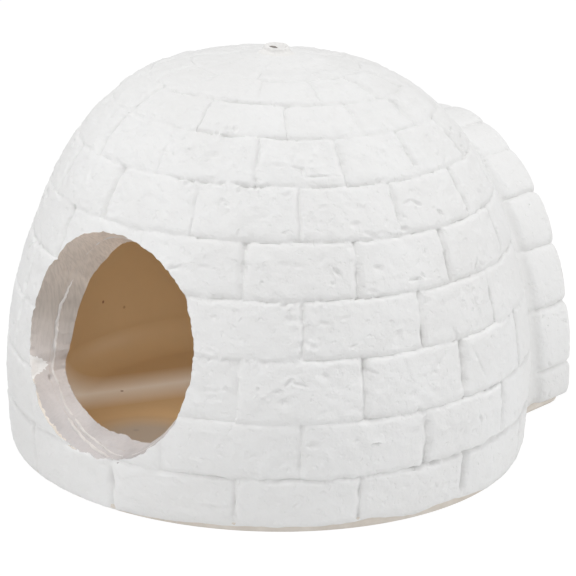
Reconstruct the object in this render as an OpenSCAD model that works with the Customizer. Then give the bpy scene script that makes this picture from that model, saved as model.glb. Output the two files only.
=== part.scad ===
// Hideout for a small pet, shaped like a snow-block house.
// A smooth inner shell carries a thick outer facing with the relief of laid blocks. A short arched
// porch stands against the back, a round door is cut through the front, and a plate closes the floor.
// The dome's axis is the Z direction, the door looks along -Y and the porch along +Y.
// The origin lies on the ground, in the middle of the whole outline. Millimetres.

/* [Dome] */
// Outer radius of the dome at its widest ring
dome_r = 65; // [58:0.5:80]
// Height of the crown over the ground, without the nub
dome_h = 95.3; // [88:0.1:120]
// Height of the widest ring over the ground
widest_z = 20.2; // [14:0.1:28]
// How far the wall draws in from the widest ring down to the foot
foot_tuck = 1.1; // [0:0.1:3]
// Power of the side curve, where a larger one keeps the wall upright for longer
side_power = 3.12; // [2.6:0.02:3.6]
// Power of the crown curve, where a larger one flattens the crown
crown_power = 1.53; // [1.4:0.01:2]

/* [Wall] */
// Thickness of the outer facing with the block relief
facing_t = 4.8; // [3.5:0.1:6]
// Thickness of the smooth inner shell
shell_t = 4.5; // [3:0.1:7]
// Bond line between a facing and the shell that carries it
bond = 0.1; // [0.05:0.05:0.3]

/* [Foot and floor] */
// Height of the bare foot that shows under the facing
foot_h = 1.4; // [0.8:0.1:3]
// How far the bare foot stays inside the outline of the facing
foot_in = 0.6; // [0.2:0.1:1.5]
// Height of the floor's top over the ground
floor_t = 4; // [3:0.1:6]
// Gap under the floor plate, so that the part stands on its foot ring
floor_lift = 0.8; // [0.3:0.1:1.5]
// Radius of the hollow curve where the inner wall turns into the floor
cove_r = 8; // [5:0.5:10]

/* [Blocks] */
// Blocks in each of the lower courses
blocks_low = 14; // [10:1:20]
// Blocks in each of the upper courses
blocks_high = 12; // [8:1:16]
// Blocks in the ring round the crown disc
blocks_crown = 8; // [6:1:10]
// Turn of the lowest course's upright joints round the dome, in degrees
joint_turn = 10; // [0:0.5:25]
// Depth of the grooves between the courses
groove_d = 0.8; // [0.4:0.1:1.4]
// Width of the grooves between the courses
groove_w = 2.4; // [1.2:0.1:4]
// Depth of the upright joints at the ends of a block
joint_d = 0.6; // [0.3:0.1:1.2]

/* [Door] */
// Diameter of the door at the outer face of the wall
door_d = 50; // [40:0.5:56]
// Diameter of the door at the inner face of the wall
door_in_d = 42.2; // [36:0.2:50]
// Height of the door's middle over the ground
door_z = 37.9; // [36:0.1:42]
// Upward tilt of the door's axis, in degrees
door_tilt = 8; // [0:0.5:14]
// Turn of the door away from the porch's axis, in degrees
door_turn = 2; // [-10:0.5:10]

/* [Porch] */
// Width of the porch over its facing
porch_w = 86; // [76:0.5:96]
// Height of the porch over the ground
porch_h = 71.8; // [62:0.1:80]
// Distance from the dome's axis to the porch's front face
porch_reach = 73.2; // [68:0.1:90]
// Depth of the front ring of arch blocks
front_ring = 13.7; // [8:0.1:16]
// Thickness of the porch's wall, with its facing
porch_wall = 10; // [8:0.1:14]
// Full blocks round the arch, between the two short foot blocks
arch_blocks = 12; // [8:2:16]
// Angle that each short foot block takes up on the arch, in degrees
foot_block = 8.4; // [5:0.2:12]
// Radius of the soft edge round the porch's front face
porch_edge = 2.6; // [1:0.1:4]

/* [Crown nub] */
// Diameter of the nub on the crown
nub_d = 5.8; // [4:0.1:9]
// Height of the nub over the crown
nub_h = 2.5; // [1.5:0.1:5]
// Diameter of the dimple in the nub
dimple_d = 2; // [1:0.1:3]
// Depth of the dimple in the nub
dimple_depth = 1.2; // [0.5:0.1:2]

/* [Hidden] */
$fn = 120;

// Slope length of each course of blocks, from the ground up to the crown disc
COURSE_RISE = [12.9, 13.5, 14, 13.2, 12.9, 12.7, 12.3, 10.4, 10.9, 13.1];
// Radius of the plain disc in the middle of the crown
CROWN_DISC = 7;
// How far round each course's first upright joint is shifted, in blocks of that course
COURSE_SHIFT = [0, 0.5, 0, 0.5, 0, 0.5, 0, 0.11, 0.77, 0.43];
// Shares of a course's height at which its smooth face has a point
FACE_STOPS = [0.35, 0.65];
// Courses from this one up have the upper count of blocks, and the last has the crown's
FIRST_HIGH = 7;
LAST_COURSE = len(COURSE_RISE) - 1;
WHITE = [0.93, 0.93, 0.92];
TAN = [0.66, 0.53, 0.37];
// Past every face that a cut has to clear
over = 1;

// The dome's wall as a curve: a runs from -30 at the ground over 0 at the widest ring to 90 at the crown
FOOT_A = -30;
function wall_point(a, inset = 0) = a < 0
    ? [dome_r - inset - foot_tuck * pow(a / FOOT_A, 2), widest_z * (1 - a / FOOT_A)]
    : [(dome_r - inset) * pow(cos(a), 2 / side_power),
       widest_z + (dome_h - inset - widest_z) * pow(sin(a), 2 / crown_power)];

// Height on the wall turned back into its curve angle, and the radius at a height
function angle_at(z, inset = 0) = z < widest_z
    ? FOOT_A * (1 - z / widest_z)
    : asin(pow((z - widest_z) / (dome_h - inset - widest_z), crown_power / 2));
function radius_at(z, inset = 0) = wall_point(angle_at(z, inset), inset)[0];

// Slope length from the ground to each step of the curve
STEPS = [for (a = [FOOT_A:1:90]) a];
function run(i) = i == 0 ? 0 : norm(wall_point(STEPS[i]) - wall_point(STEPS[i - 1]));
LENGTHS = [for (i = 0, s = 0; i < len(STEPS); i = i + 1, s = i < len(STEPS) ? s + run(i) : s) s];
WHOLE_SLOPE = LENGTHS[len(LENGTHS) - 1];
SLOPE_TABLE = [for (i = [0:len(STEPS) - 1]) [LENGTHS[i], STEPS[i]]];
function sum_to(list, n) = n <= 0 ? 0 : list[n - 1] + sum_to(list, n - 1);
RISE_SCALE = WHOLE_SLOPE / (sum_to(COURSE_RISE, len(COURSE_RISE)) + CROWN_DISC);
// Slope length at which course k starts, and the wall's angle there
function course_start(k) = RISE_SCALE * sum_to(COURSE_RISE, k);
function slope_angle(s) = lookup(s, SLOPE_TABLE);

// Slope lengths and insets along one course: a groove is full in its middle, a quarter half way out to its
// edge, and none past that
function course_points(k) = let (
        low = course_start(k),
        high = course_start(k + 1),
        rim = groove_w / 2)
    [
        [low + rim / 2, groove_d / 4],
        [low + rim, 0],
        for (f = FACE_STOPS) [low + f * (high - low), 0],
        [high - rim, 0],
        [high - rim / 2, groove_d / 4],
        [high, groove_d]
    ];

// Points of a smooth layer of the wall, from a height up to the crown
function layer(inset, from_z, step = 5) = let (first = angle_at(from_z, inset))
    [
        [radius_at(from_z, inset), from_z],
        for (a = [FOOT_A + step:step:89]) if (a > first + 1) wall_point(a, inset),
        [0, dome_h - inset]
    ];
function reversed(list) = [for (i = [len(list) - 1:-1:0]) list[i]];

// Derived places
shell_inset = facing_t + bond;
cavity_inset = facing_t + bond + shell_t;
floor_r = radius_at(floor_t + cove_r, cavity_inset) - cove_r;
front_y = -radius_at(door_z - door_d / 2);
mid_y = (porch_reach + front_y) / 2;
wall_r = radius_at(door_z);
door_plane = sqrt(pow(wall_r, 2) - pow(door_d / 2, 2));
door_flare = (door_d - door_in_d) / 2 / (facing_t + bond + shell_t);
ring_y = porch_reach - front_ring;

// Everything is drawn round the dome's axis and then set in the middle of the outline
module placed() {
    translate([0, -mid_y, 0]) children();
}

// A solid that fills the dome out to one inset
module dome_body(inset, from_z = 0) {
    rotate_extrude()
        polygon(concat([[0, from_z]], layer(inset, from_z)));
}

// The door's cut, a cone that narrows inwards
module door_cut() {
    back = 30;
    ahead = 25;
    rotate([0, 0, door_turn])
        translate([0, -door_plane, door_z])
            rotate([90 - door_tilt, 0, 0])
                translate([0, 0, -back])
                    cylinder(h = back + ahead, r1 = door_d / 2 - back * door_flare,
                        r2 = door_d / 2 + ahead * door_flare);
}

// Outline of the porch's arch, drawn in from its outer face
function arch_outline(inset, base_z, steps = 48) = let (
        half = porch_w / 2 - inset,
        high = porch_h - inset,
        first = base_z > 0 ? asin(base_z / high) : 0)
    [
        if (base_z < 0) [half, base_z],
        for (i = [0:steps]) let (t = first + (180 - 2 * first) * i / steps) [half * cos(t), high * sin(t)],
        if (base_z < 0) [-half, base_z]
    ];

module arch_prism(inset, base_z, from_y, to_y) {
    translate([0, to_y, 0])
        rotate([90, 0, 0])
            linear_extrude(height = to_y - from_y)
                polygon(arch_outline(inset, base_z));
}

// Inner shell: wall, hollow curve to the floor, foot ring, door and way to the porch
module inner_shell_profile() {
    cove = [for (t = [0:15:90]) [floor_r + cove_r * sin(t), floor_t + cove_r * (1 - cos(t))]];
    cavity = layer(cavity_inset, floor_t + cove_r);
    polygon(concat(
        [[floor_r, 0]],
        cove,
        [for (i = [1:len(cavity) - 1]) cavity[i]],
        reversed(layer(shell_inset, 0))));
}

module inner_shell() {
    color(TAN) placed() difference() {
        union() {
            difference() {
                rotate_extrude() inner_shell_profile();
                arch_prism(porch_wall, floor_t, 0, porch_reach);
            }
            difference() {
                cylinder(h = foot_h, r = radius_at(foot_h) - foot_in);
                translate([0, 0, -over]) cylinder(h = foot_h + 2 * over, r = floor_r + cove_r);
                arch_prism(-bond, -over, 0, porch_reach);
            }
        }
        door_cut();
    }
}

// One upright joint between two blocks of course k, as a bar with its edge inwards
module upright_joint(k, turn) {
    low = wall_point(slope_angle(course_start(k)));
    high = wall_point(slope_angle(course_start(k + 1)));
    middle = (low + high) / 2;
    lean = atan2(high[0] - low[0], high[1] - low[1]);
    bar = joint_d * sqrt(2);
    rotate([0, 0, turn])
        translate([middle[0], 0, middle[1]])
            rotate([0, lean, 0])
                rotate([0, 0, 45])
                    cube([bar, bar, norm(high - low)], center = true);
}

// Blocks of each course, and the turn of its first upright joint
function course_blocks(k) = k == LAST_COURSE ? blocks_crown : k < FIRST_HIGH ? blocks_low : blocks_high;
function course_turn(k) = joint_turn - 90 + COURSE_SHIFT[k] * 360 / course_blocks(k);

module dome_facing() {
    outer = [for (k = [0:LAST_COURSE]) for (p = course_points(k)) wall_point(slope_angle(p[0]), p[1])];
    bottom = foot_h + bond;
    color(WHITE) placed() difference() {
        rotate_extrude()
            polygon(concat(
                layer(facing_t, bottom),
                [[0, dome_h]],
                reversed([for (p = outer) if (p[1] > bottom + groove_w / 2) p]),
                [[radius_at(bottom), bottom]]));
        for (k = [0:LAST_COURSE]) {
            for (i = [0:course_blocks(k) - 1])
                upright_joint(k, course_turn(k) + 360 * i / course_blocks(k));
        }
        door_cut();
        arch_prism(-bond, -over, 0, porch_reach + over);
    }
}

// Porch tunnel: smooth lining and floor of the porch, seated on the inner shell
module porch_tunnel() {
    end_y = porch_reach - facing_t - bond;
    sill_y = porch_reach - foot_in;
    sill_w = porch_w - 2 * porch_wall - 4 * bond;
    color(TAN) placed() difference() {
        union() {
            arch_prism(facing_t + bond, 0, 0, end_y);
            translate([foot_in - porch_w / 2, 0, 0])
                cube([porch_w - 2 * foot_in, sill_y, foot_h]);
            translate([-sill_w / 2, 0, 0])
                cube([sill_w, sill_y, floor_t]);
        }
        arch_prism(porch_wall, floor_t, -over, porch_reach);
        dome_body(facing_t, -over);
    }
}

// Joints round the arch, one at each end of every full block
function arch_joint(i) = foot_block + (180 - 2 * foot_block) * i / arch_blocks;

// Outline of the arch with its joints, drawn in by at least one inset
function relief_outline(inset, base_z) = let (
        half = porch_w / 2,
        high = porch_h,
        rim = groove_w / 2 / half * 180 / PI,
        joints = [for (i = [0:arch_blocks]) each
            let (t = arch_joint(i), wide = (180 - 2 * foot_block) / arch_blocks)
            [
                [t - rim, 0],
                [t - rim / 2, groove_d / 4],
                [t, groove_d],
                [t + rim / 2, groove_d / 4],
                [t + rim, 0],
                if (i < arch_blocks) [t + wide / 2, 0]
            ]],
        first = asin(base_z / high))
    [for (p = concat([[first, 0]], joints, [[180 - first, 0]])) let (d = max(inset, p[1]))
        [(half - d) * cos(p[0]), (high - d) * sin(p[0])]];

// Sections joined into one solid, all with the same count of points
module loft(sections) {
    n = len(sections[0]);
    last = len(sections) - 1;
    polyhedron(
        points = [for (s = sections) each s],
        faces = concat(
            [[for (i = [0:n - 1]) i]],
            [for (k = [0:last - 1]) for (i = [0:n - 1]) let (j = (i + 1) % n)
                each [[k * n + i, (k + 1) * n + i, (k + 1) * n + j], [k * n + i, (k + 1) * n + j, k * n + j]]],
            [[for (i = [n - 1:-1:0]) last * n + i]]));
}

module porch_facing() {
    bottom = foot_h + bond;
    rim = groove_w / 2;
    rows = [
        [0, 0],
        [ring_y - rim, 0],
        [ring_y - rim / 2, groove_d / 4],
        [ring_y, groove_d],
        [ring_y + rim / 2, groove_d / 4],
        [ring_y + rim, 0],
        for (t = [0:30:90]) [porch_reach - porch_edge * (1 - sin(t)), porch_edge * (1 - cos(t))]
    ];
    color(WHITE) placed() difference() {
        loft([for (row = rows) [for (p = relief_outline(row[1], bottom)) [p[0], row[0], max(p[1], bottom)]]]);
        arch_prism(facing_t, -over, -over, porch_reach - facing_t);
        arch_prism(porch_wall, -over, -over, porch_reach + over);
        dome_body(facing_t, -over);
        for (i = [0:arch_blocks])
            face_joint(arch_joint(i));
    }
}

// One joint on the porch's front face, from the way in out to the edge
module face_joint(t) {
    bar = joint_d * sqrt(2);
    from = [(porch_w / 2 - porch_wall) * cos(t), (porch_h - porch_wall) * sin(t)];
    to = [porch_w / 2 * cos(t), porch_h * sin(t)];
    middle = (from + to) / 2;
    translate([middle[0], porch_reach, middle[1]])
        rotate([0, -atan2(to[1] - from[1], to[0] - from[0]), 0])
            rotate([45, 0, 0])
                cube([norm(to - from) + 2 * over, bar, bar], center = true);
}

module floor_plate() {
    color(TAN) placed()
        translate([0, 0, floor_lift])
            cylinder(h = floor_t - floor_lift, r = floor_r - bond);
}

// Crown nub: a small button on a spreading foot, with a soft rim and a blind dimple
module crown_nub() {
    r = nub_d / 2;
    start = dome_h + bond;
    top = dome_h + nub_h;
    spread = nub_d * 0.16;
    flare_h = nub_h / 2;
    rim = nub_d * 0.08;
    color(WHITE) placed() difference() {
        rotate_extrude()
            polygon([
                [0, start],
                [r + spread, start],
                for (t = [30:30:90]) [r + spread * (1 - sin(t)), start + flare_h * (1 - cos(t))],
                for (t = [0:30:90]) [r - rim * (1 - cos(t)), top - rim * (1 - sin(t))],
                [0, top]
            ]);
        translate([0, 0, top - dimple_depth])
            cylinder(h = dimple_depth + over, d = dimple_d);
    }
}

inner_shell();
dome_facing();
porch_tunnel();
porch_facing();
floor_plate();
crown_nub();
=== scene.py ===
"""Looks of the domed hideout: block relief, door cut, porch, smooth inside, studio and camera."""

import math

import bpy
import numpy as np
from mathutils import Matrix, Vector


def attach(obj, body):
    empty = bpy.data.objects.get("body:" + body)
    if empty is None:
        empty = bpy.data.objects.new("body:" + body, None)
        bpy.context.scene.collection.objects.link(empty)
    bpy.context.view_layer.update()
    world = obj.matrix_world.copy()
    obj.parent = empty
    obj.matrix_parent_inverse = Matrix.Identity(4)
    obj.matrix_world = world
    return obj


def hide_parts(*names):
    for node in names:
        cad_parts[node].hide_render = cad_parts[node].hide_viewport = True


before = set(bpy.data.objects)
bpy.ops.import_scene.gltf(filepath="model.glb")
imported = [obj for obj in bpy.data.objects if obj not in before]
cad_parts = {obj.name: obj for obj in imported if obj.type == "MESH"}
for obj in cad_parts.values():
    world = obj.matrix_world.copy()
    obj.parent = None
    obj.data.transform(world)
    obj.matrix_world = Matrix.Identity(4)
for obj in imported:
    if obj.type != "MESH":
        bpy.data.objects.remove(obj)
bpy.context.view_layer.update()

MM = 0.001

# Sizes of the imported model, in millimetres, round the dome's axis
DOME_R = 65.0  # half width of the dome
DOME_H = 95.3  # height of the dome without its nub
WIDEST_Z = 20.2  # height at which the wall is widest
FOOT_TUCK = 1.1  # how far the wall draws in again at the ground
FOOT_ANGLE = -30.0  # the curve's angle at the ground, in degrees
SIDE_POWER = 3.12  # how full the curve is sideways, 2 for a round one
CROWN_POWER = 1.53  # and upwards
FACING_T = 4.8  # thickness of the white layer
SHELL_T = 4.5  # thickness of the tan layer
BOND = 0.1  # the line between two layers
FOOT_H = 1.4  # height of the bare foot
FLOOR_T = 4.0  # height of the floor inside
FLOOR_LIFT = 0.8  # the floor disc's underside over the ground
COVE_R = 8.0  # the hollow curve from wall to floor
DOOR_D = 50.0  # the door's width at the outer face
DOOR_IN_D = 42.2  # and at the inner face
DOOR_Z = 37.9  # height of the door's middle
DOOR_TILT = 8.0  # how far the door looks up, in degrees
DOOR_TURN = 2.0  # and aside from the porch's axis, in degrees
PORCH_W = 86.0  # width of the porch
PORCH_H = 71.8  # height of the porch
PORCH_REACH = 73.2  # from the dome's axis to the porch's front
FRONT_RING = 13.7  # depth of the front ring of arch blocks
PORCH_WALL = 10.0  # thickness of the porch's wall, both layers
ARCH_BLOCKS = 12  # blocks in each ring, without the two feet
FOOT_BLOCK = 8.4  # how much of the arch a foot block takes, in degrees
PORCH_EDGE = 2.6  # radius of the porch's outer front edge
NUB_D = 5.8  # width of the crown nub
NUB_H = 2.5  # height of the crown nub

# Heights of the joint lines between the courses, from the lowest up
COURSE_Z = [12.9, 26.4, 40.2, 52.8, 64.8, 75.8, 85.0, 90.7, 94.0, 95.2]
# How strongly each of those lines is pressed in, at each of these azimuths from the door's side
PRESS_AT = [-30, 0, 30, 60, 90, 115]
LINE_PRESS = [
    [0.9, 0.7, 0.85, 1.6, 1.5, 1.2],
    [0.6, 0.6, 0.35, 0.75, 0.75, 0.8],
    [0.45, 0.45, 0.40, 0.65, 0.6, 0.5],
    [0.5, 0.5, 0.95, 0.9, 0.85, 0.6],
    [0.5, 0.45, 0.75, 0.85, 0.75, 0.7],
    [0.45, 0.45, 0.85, 0.75, 0.65, 0.5],
    [0.4, 0.5, 0.9, 0.7, 0.4, 0.4],
    [0.4, 0.9, 1.2, 0.8, 0.45, 0.4],
    [0.3, 0.5, 0.6, 0.5, 0.35, 0.3],
    [0.0, 0.0, 0.0, 0.0, 0.0, 0.0],
]
# Upright joints of each course as azimuth from the door's side in degrees, and strength.
# What lies between the last one and the first is shared out evenly into the given count of blocks.
JOINTS = [
    (14, [(8.5, 1.1), (35.4, 0.75), (61, 1.0), (87, 1.35)]),
    (14, [(-15.5, 0.6), (20, 0.6), (48.4, 0.55), (75.5, 1.4), (100, 1.6)]),
    (14, [(-29.5, 0.6), (9, 0.4), (35.5, 0.28), (61.5, 1.15), (86.5, 1.8)]),
    (14, [(-29.5, 1.1), (-4, 0.5), (23, 0.5), (48.5, 0.70), (76, 0.9), (99.8, 0.7)]),
    (14, [(-17.5, 1.8), (9, 0.4), (35.5, 1.2), (61.5, 1.15), (86.7, 1.2)]),
    (14, [(-31, 1.9), (-5, 1.3), (21.5, 0.3), (48.4, 0.6), (74.9, 0.85), (100.8, 1.7)]),
    (14, [(-19, 1.7), (7.1, 0.15), (36.7, 1.0), (62, 0.85), (86.5, 0.65), (114.5, 1.8)]),
    (12, [(-18, 1.0), (14.3, 0.12), (45.6, 0.5), (72.8, 0.55), (99.5, 1.3)]),
    (12, [(-28, 0.6), (2.5, 0.12), (33, 0.22), (63.2, 0.35)]),
    (8, [(-15, 0.2), (29.5, 0.14), (74, 0.14)]),
]

# How far the crown's cap rises over the plain curve, and between which radii
MOUND = 1.0
MOUND_IN, MOUND_OUT = 6.5, 14.0
CROWN_DIP = 0.16
# How much the crown drops towards the photograph's right, in millimetres per millimetre
CROWN_LEAN = 0.021
CROWN_DROP = 0.18
# Steps round and up the dome facing, and the triangles that the facings keep
DENSE_TURN, DENSE_RISE = 1280, 400
FACING_TRIANGLES, PORCH_TRIANGLES = 178000, 90000


# ---------------------------------------------------------------- shared shapes

def wall_curve(angle, inset=0.0):
    """Radius and height of the dome's wall at a curve angle, in degrees."""
    angle = np.asarray(angle, float)
    up = np.radians(np.clip(angle, 0, 90))
    low_r = DOME_R - inset - FOOT_TUCK * (angle / FOOT_ANGLE) ** 2
    low_z = WIDEST_Z * (1 - angle / FOOT_ANGLE)
    high_r = (DOME_R - inset) * np.clip(np.cos(up), 0, 1) ** (2 / SIDE_POWER)
    high_z = WIDEST_Z + (DOME_H - inset - WIDEST_Z) * np.sin(up) ** (2 / CROWN_POWER)
    return np.where(angle < 0, low_r, high_r), np.where(angle < 0, low_z, high_z)


class Wall:
    """The wall's curve by slope length, from the ground to the crown, with its outward direction."""

    def __init__(self, inset=0.0):
        a = np.concatenate([np.linspace(FOOT_ANGLE, 88, 3000), 90 - np.geomspace(2, 1e-5, 1200)[1:]])
        self.r, self.z = wall_curve(a, inset)
        self.s = np.concatenate([[0], np.cumsum(np.hypot(np.diff(self.r), np.diff(self.z)))])
        dr, dz = np.gradient(self.r, self.s), np.gradient(self.z, self.s)
        size = np.hypot(dr, dz)
        self.nr, self.nz = dz / size, -dr / size
        self.top = self.s[-1]

    def at(self, s):
        return tuple(np.interp(s, self.s, v) for v in (self.r, self.z, self.nr, self.nz))

    def slope(self, z):
        return np.interp(z, self.z, self.s)

    def radius(self, z):
        return np.interp(z, self.z, self.r)


WALL = Wall()
MID_Y = (PORCH_REACH - float(WALL.radius(DOOR_Z - DOOR_D / 2))) / 2
CAVITY_INSET = FACING_T + BOND + SHELL_T
FLOOR_R = float(Wall(CAVITY_INSET).radius(FLOOR_T + COVE_R)) - COVE_R
DOOR_OFF = math.sqrt(float(WALL.radius(DOOR_Z)) ** 2 - (DOOR_D / 2) ** 2)
DOOR_FLARE = (DOOR_D - DOOR_IN_D) / 2 / CAVITY_INSET
RING_Y = PORCH_REACH - FRONT_RING


def mixed(x, y, z, seed):
    """A whole number for each corner of a lattice, the same in every run."""
    h = (x.astype(np.int64) * 374761393 + y.astype(np.int64) * 668265263
         + z.astype(np.int64) * 1442695041 + seed * 1013904223) & 0xFFFFFFFF
    h = ((h ^ (h >> 13)) * 1274126177) & 0xFFFFFFFF
    h = ((h ^ (h >> 15)) * 2246822519) & 0xFFFFFFFF
    return h ^ (h >> 16)


def noise(points, size, seed):
    """Smooth noise from about -1 to 1 at points in millimetres, with features of one size."""
    p = np.asarray(points, float) / size
    base = np.floor(p).astype(np.int64)
    f = p - base
    w = f * f * f * (f * (f * 6 - 15) + 10)
    total = np.zeros(p.shape[:-1])
    for corner in range(8):
        dx, dy, dz = corner & 1, (corner >> 1) & 1, (corner >> 2) & 1
        h = mixed(base[..., 0] + dx, base[..., 1] + dy, base[..., 2] + dz, seed)
        gx = (h & 1023) / 511.5 - 1
        gy = ((h >> 10) & 1023) / 511.5 - 1
        gz = ((h >> 20) & 1023) / 511.5 - 1
        dot = gx * (f[..., 0] - dx) + gy * (f[..., 1] - dy) + gz * (f[..., 2] - dz)
        total += dot * ((w[..., 0] if dx else 1 - w[..., 0]) * (w[..., 1] if dy else 1 - w[..., 1])
                        * (w[..., 2] if dz else 1 - w[..., 2]))
    return total * 1.5


def layers(points, *parts):
    """A sum of noises, each given as (amount, size, seed)."""
    return sum(amount * noise(points, size, seed) for amount, size, seed in parts)


def random_of(*keys):
    """A number from -1 to 1 that belongs to three whole numbers."""
    return mixed(*(np.asarray(k, np.int64) for k in keys), 77) / 2147483647.5 - 1


def signed_volume(points, faces):
    """Volume inside the faces, below zero where they are wound inside out."""
    total = 0.0
    for f in faces:
        f = np.asarray(f)
        for k in range(1, f.shape[1] - 1):
            a, b, c = points[f[:, 0]], points[f[:, k]], points[f[:, k + 1]]
            total += float(np.einsum("ij,ij->", a, np.cross(b, c)))
    return total / 6


def in_scene(obj):
    bpy.context.scene.collection.objects.link(obj)
    return obj


def mesh_object(name, points, faces):
    """A mesh in the row frame from points in millimetres round the dome's axis, and quads or triangles."""
    points = np.array(points, np.float64)
    if signed_volume(points, faces) < 0:
        faces = [np.asarray(f)[:, ::-1] for f in faces]
    points[:, 1] -= MID_Y
    loops = np.concatenate([np.asarray(f, np.int32).ravel() for f in faces])
    counts = np.concatenate([np.full(len(f), np.asarray(f).shape[1], np.int32) for f in faces])
    mesh = bpy.data.meshes.new(name)
    mesh.vertices.add(len(points))
    mesh.vertices.foreach_set("co", (points * MM).astype(np.float32).ravel())
    mesh.loops.add(len(loops))
    mesh.loops.foreach_set("vertex_index", loops)
    mesh.polygons.add(len(counts))
    mesh.polygons.foreach_set("loop_start", np.concatenate([[0], np.cumsum(counts)[:-1]]).astype(np.int32))
    mesh.update(calc_edges=True)
    mesh.validate()
    return in_scene(bpy.data.objects.new(name, mesh))


def rings_solid(name, rings):
    """A closed solid from rings of points, with the first and last ring closed in a middle point each."""
    rings = np.asarray(rings, float)
    m, n = rings.shape[:2]
    grid = np.arange(m * n).reshape(m, n)
    right = np.roll(grid, -1, axis=1)
    quads = np.stack([grid[:-1], right[:-1], right[1:], grid[1:]], -1).reshape(-1, 4)
    points = np.concatenate([rings.reshape(-1, 3), rings[0].mean(0)[None], rings[-1].mean(0)[None]])
    low = np.stack([right[0], grid[0], np.full(n, m * n)], -1)
    high = np.stack([grid[-1], right[-1], np.full(n, m * n + 1)], -1)
    return mesh_object(name, points, [quads, low, high])


def baked(obj):
    """The object's mesh with its modifiers applied."""
    bpy.context.view_layer.update()
    graph = bpy.context.evaluated_depsgraph_get()
    mesh = bpy.data.meshes.new_from_object(obj.evaluated_get(graph))
    old = obj.data
    obj.modifiers.clear()
    obj.data = mesh
    mesh.name = obj.name
    bpy.data.meshes.remove(old)
    return obj


def combined(obj, operation, parts):
    """The solid with the solids of the parts taken out of it (DIFFERENCE) or joined on (UNION)."""
    for part in parts:
        step = obj.modifiers.new("combine", "BOOLEAN")
        step.operation, step.solver, step.object = operation, "MANIFOLD", part
    return baked(obj)


def cut(obj, *cutters):
    return combined(obj, "DIFFERENCE", cutters)


def thinned(obj, triangles):
    """Fewer triangles where the surface is plain."""
    have = sum(len(p.vertices) - 2 for p in obj.data.polygons)
    if have > triangles:
        step = obj.modifiers.new("thin", "DECIMATE")
        step.ratio = triangles / have
        step.use_collapse_triangulate = True
        baked(obj)
    return obj


def rows_of_three(items, key):
    """A property of all vertices or faces of a mesh, as rows of three."""
    values = np.zeros(len(items) * 3, np.float32)
    items.foreach_get(key, values)
    return values.reshape(-1, 3).astype(float)


def local_points(obj):
    """The mesh's points in millimetres round the dome's axis."""
    return rows_of_three(obj.data.vertices, "co") / MM + (0, MID_Y, 0)


def face_centres(obj):
    """The middles of the mesh's faces in millimetres round the dome's axis."""
    return rows_of_three(obj.data.polygons, "center") / MM + (0, MID_Y, 0)


def turned(phi, r, z):
    """Points at azimuth phi from the door's side, radius and height."""
    return np.stack(np.broadcast_arrays(r * np.sin(phi), -r * np.cos(phi), z), -1)


def lathe(rows, count):
    """Azimuths, and rings of points for rows of (radius, height) turned round the axis."""
    phi = np.linspace(0, 2 * math.pi, count, endpoint=False)
    rows = np.array(rows)
    return phi, turned(phi[None, :], rows[:, :1], rows[:, 1:])


def eased(t):
    """Smooth rise from 0 to 1."""
    return t * t * (3 - 2 * t)


def bell(x, width):
    """Falls from 1 at 0 to nothing past about two widths."""
    return np.exp(-(x / width) ** 2)


# ---------------------------------------------------------------- block relief

def by_angle(turn, table):
    """A value from a table of (degrees, value) that runs round and closes."""
    angle, value = zip(*table)
    return np.interp(np.degrees(turn) % 360, angle, value, period=360)


def roll(distance, width, power=2.0):
    """Rises from 0 at a block's edge to 1 on its face."""
    t = np.clip(distance / width, 0, 1)
    return 1 - (1 - t) ** power


def joint_lists():
    """All upright joints of every course, in degrees, with their strengths."""
    lists = []
    for course, (count, seen) in enumerate(JOINTS):
        joints = list(seen)
        gap_from, gap_to = joints[-1][0], joints[0][0] + 360
        left = count - len(joints) + 1
        for i in range(1, left):
            drift = 0.8 * float(random_of(course, i, 5))
            strength = 1.0 + 0.3 * float(random_of(course, i, 6))
            joints.append((gap_from + (gap_to - gap_from) * i / left + drift, strength))
        lists.append(sorted((a % 360, d) for a, d in joints))
    return lists


def nearest_joint(phi_deg, joints):
    """Distance in degrees to the joints on both sides, the block's number and the nearer joint's strength."""
    angles = np.array([a for a, _ in joints])
    strength = np.array([d for _, d in joints])
    n = len(angles)
    k = np.searchsorted(angles, phi_deg % 360, side="right")
    left = (phi_deg % 360 - np.where(k > 0, angles[(k - 1) % n], angles[-1] - 360))
    right = (np.where(k < n, angles[k % n], angles[0] + 360) - phi_deg % 360)
    near = np.where(left < right, strength[(k - 1) % n], strength[k % n])
    return left, right, (k - 1) % n, near


def stamp(h, phi, s, radius, at, size, turn, height, power, rim=0.0):
    """Adds one soft pit or bump: at is azimuth in degrees and slope length, size its half lengths in mm."""
    rows = np.flatnonzero(np.abs(s[:, 0] - at[1]) < max(size) * 1.9 + 1.0)
    if not len(rows):
        return
    reach = (max(size) * 1.9 + 0.5) / max(radius[rows[len(rows) // 2], 0], 2.0)
    step = 2 * math.pi / phi.shape[1]
    middle = int(round((math.radians(at[0]) % (2 * math.pi)) / step))
    half = min(int(reach / step) + 1, phi.shape[1] // 2 - 1)
    block = np.ix_(rows, np.arange(middle - half, middle + half + 1) % phi.shape[1])
    x = ((phi[block] - math.radians(at[0]) + math.pi) % (2 * math.pi) - math.pi) * radius[block]
    y = s[block] - at[1]
    c, q = math.cos(math.radians(turn)), math.sin(math.radians(turn))
    d = np.hypot((x * c + y * q) / size[0], (-x * q + y * c) / size[1])
    h[block] += height * np.clip(1 - d * d, 0, 1) ** power + rim * bell(d - 1.2, 0.3)


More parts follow.
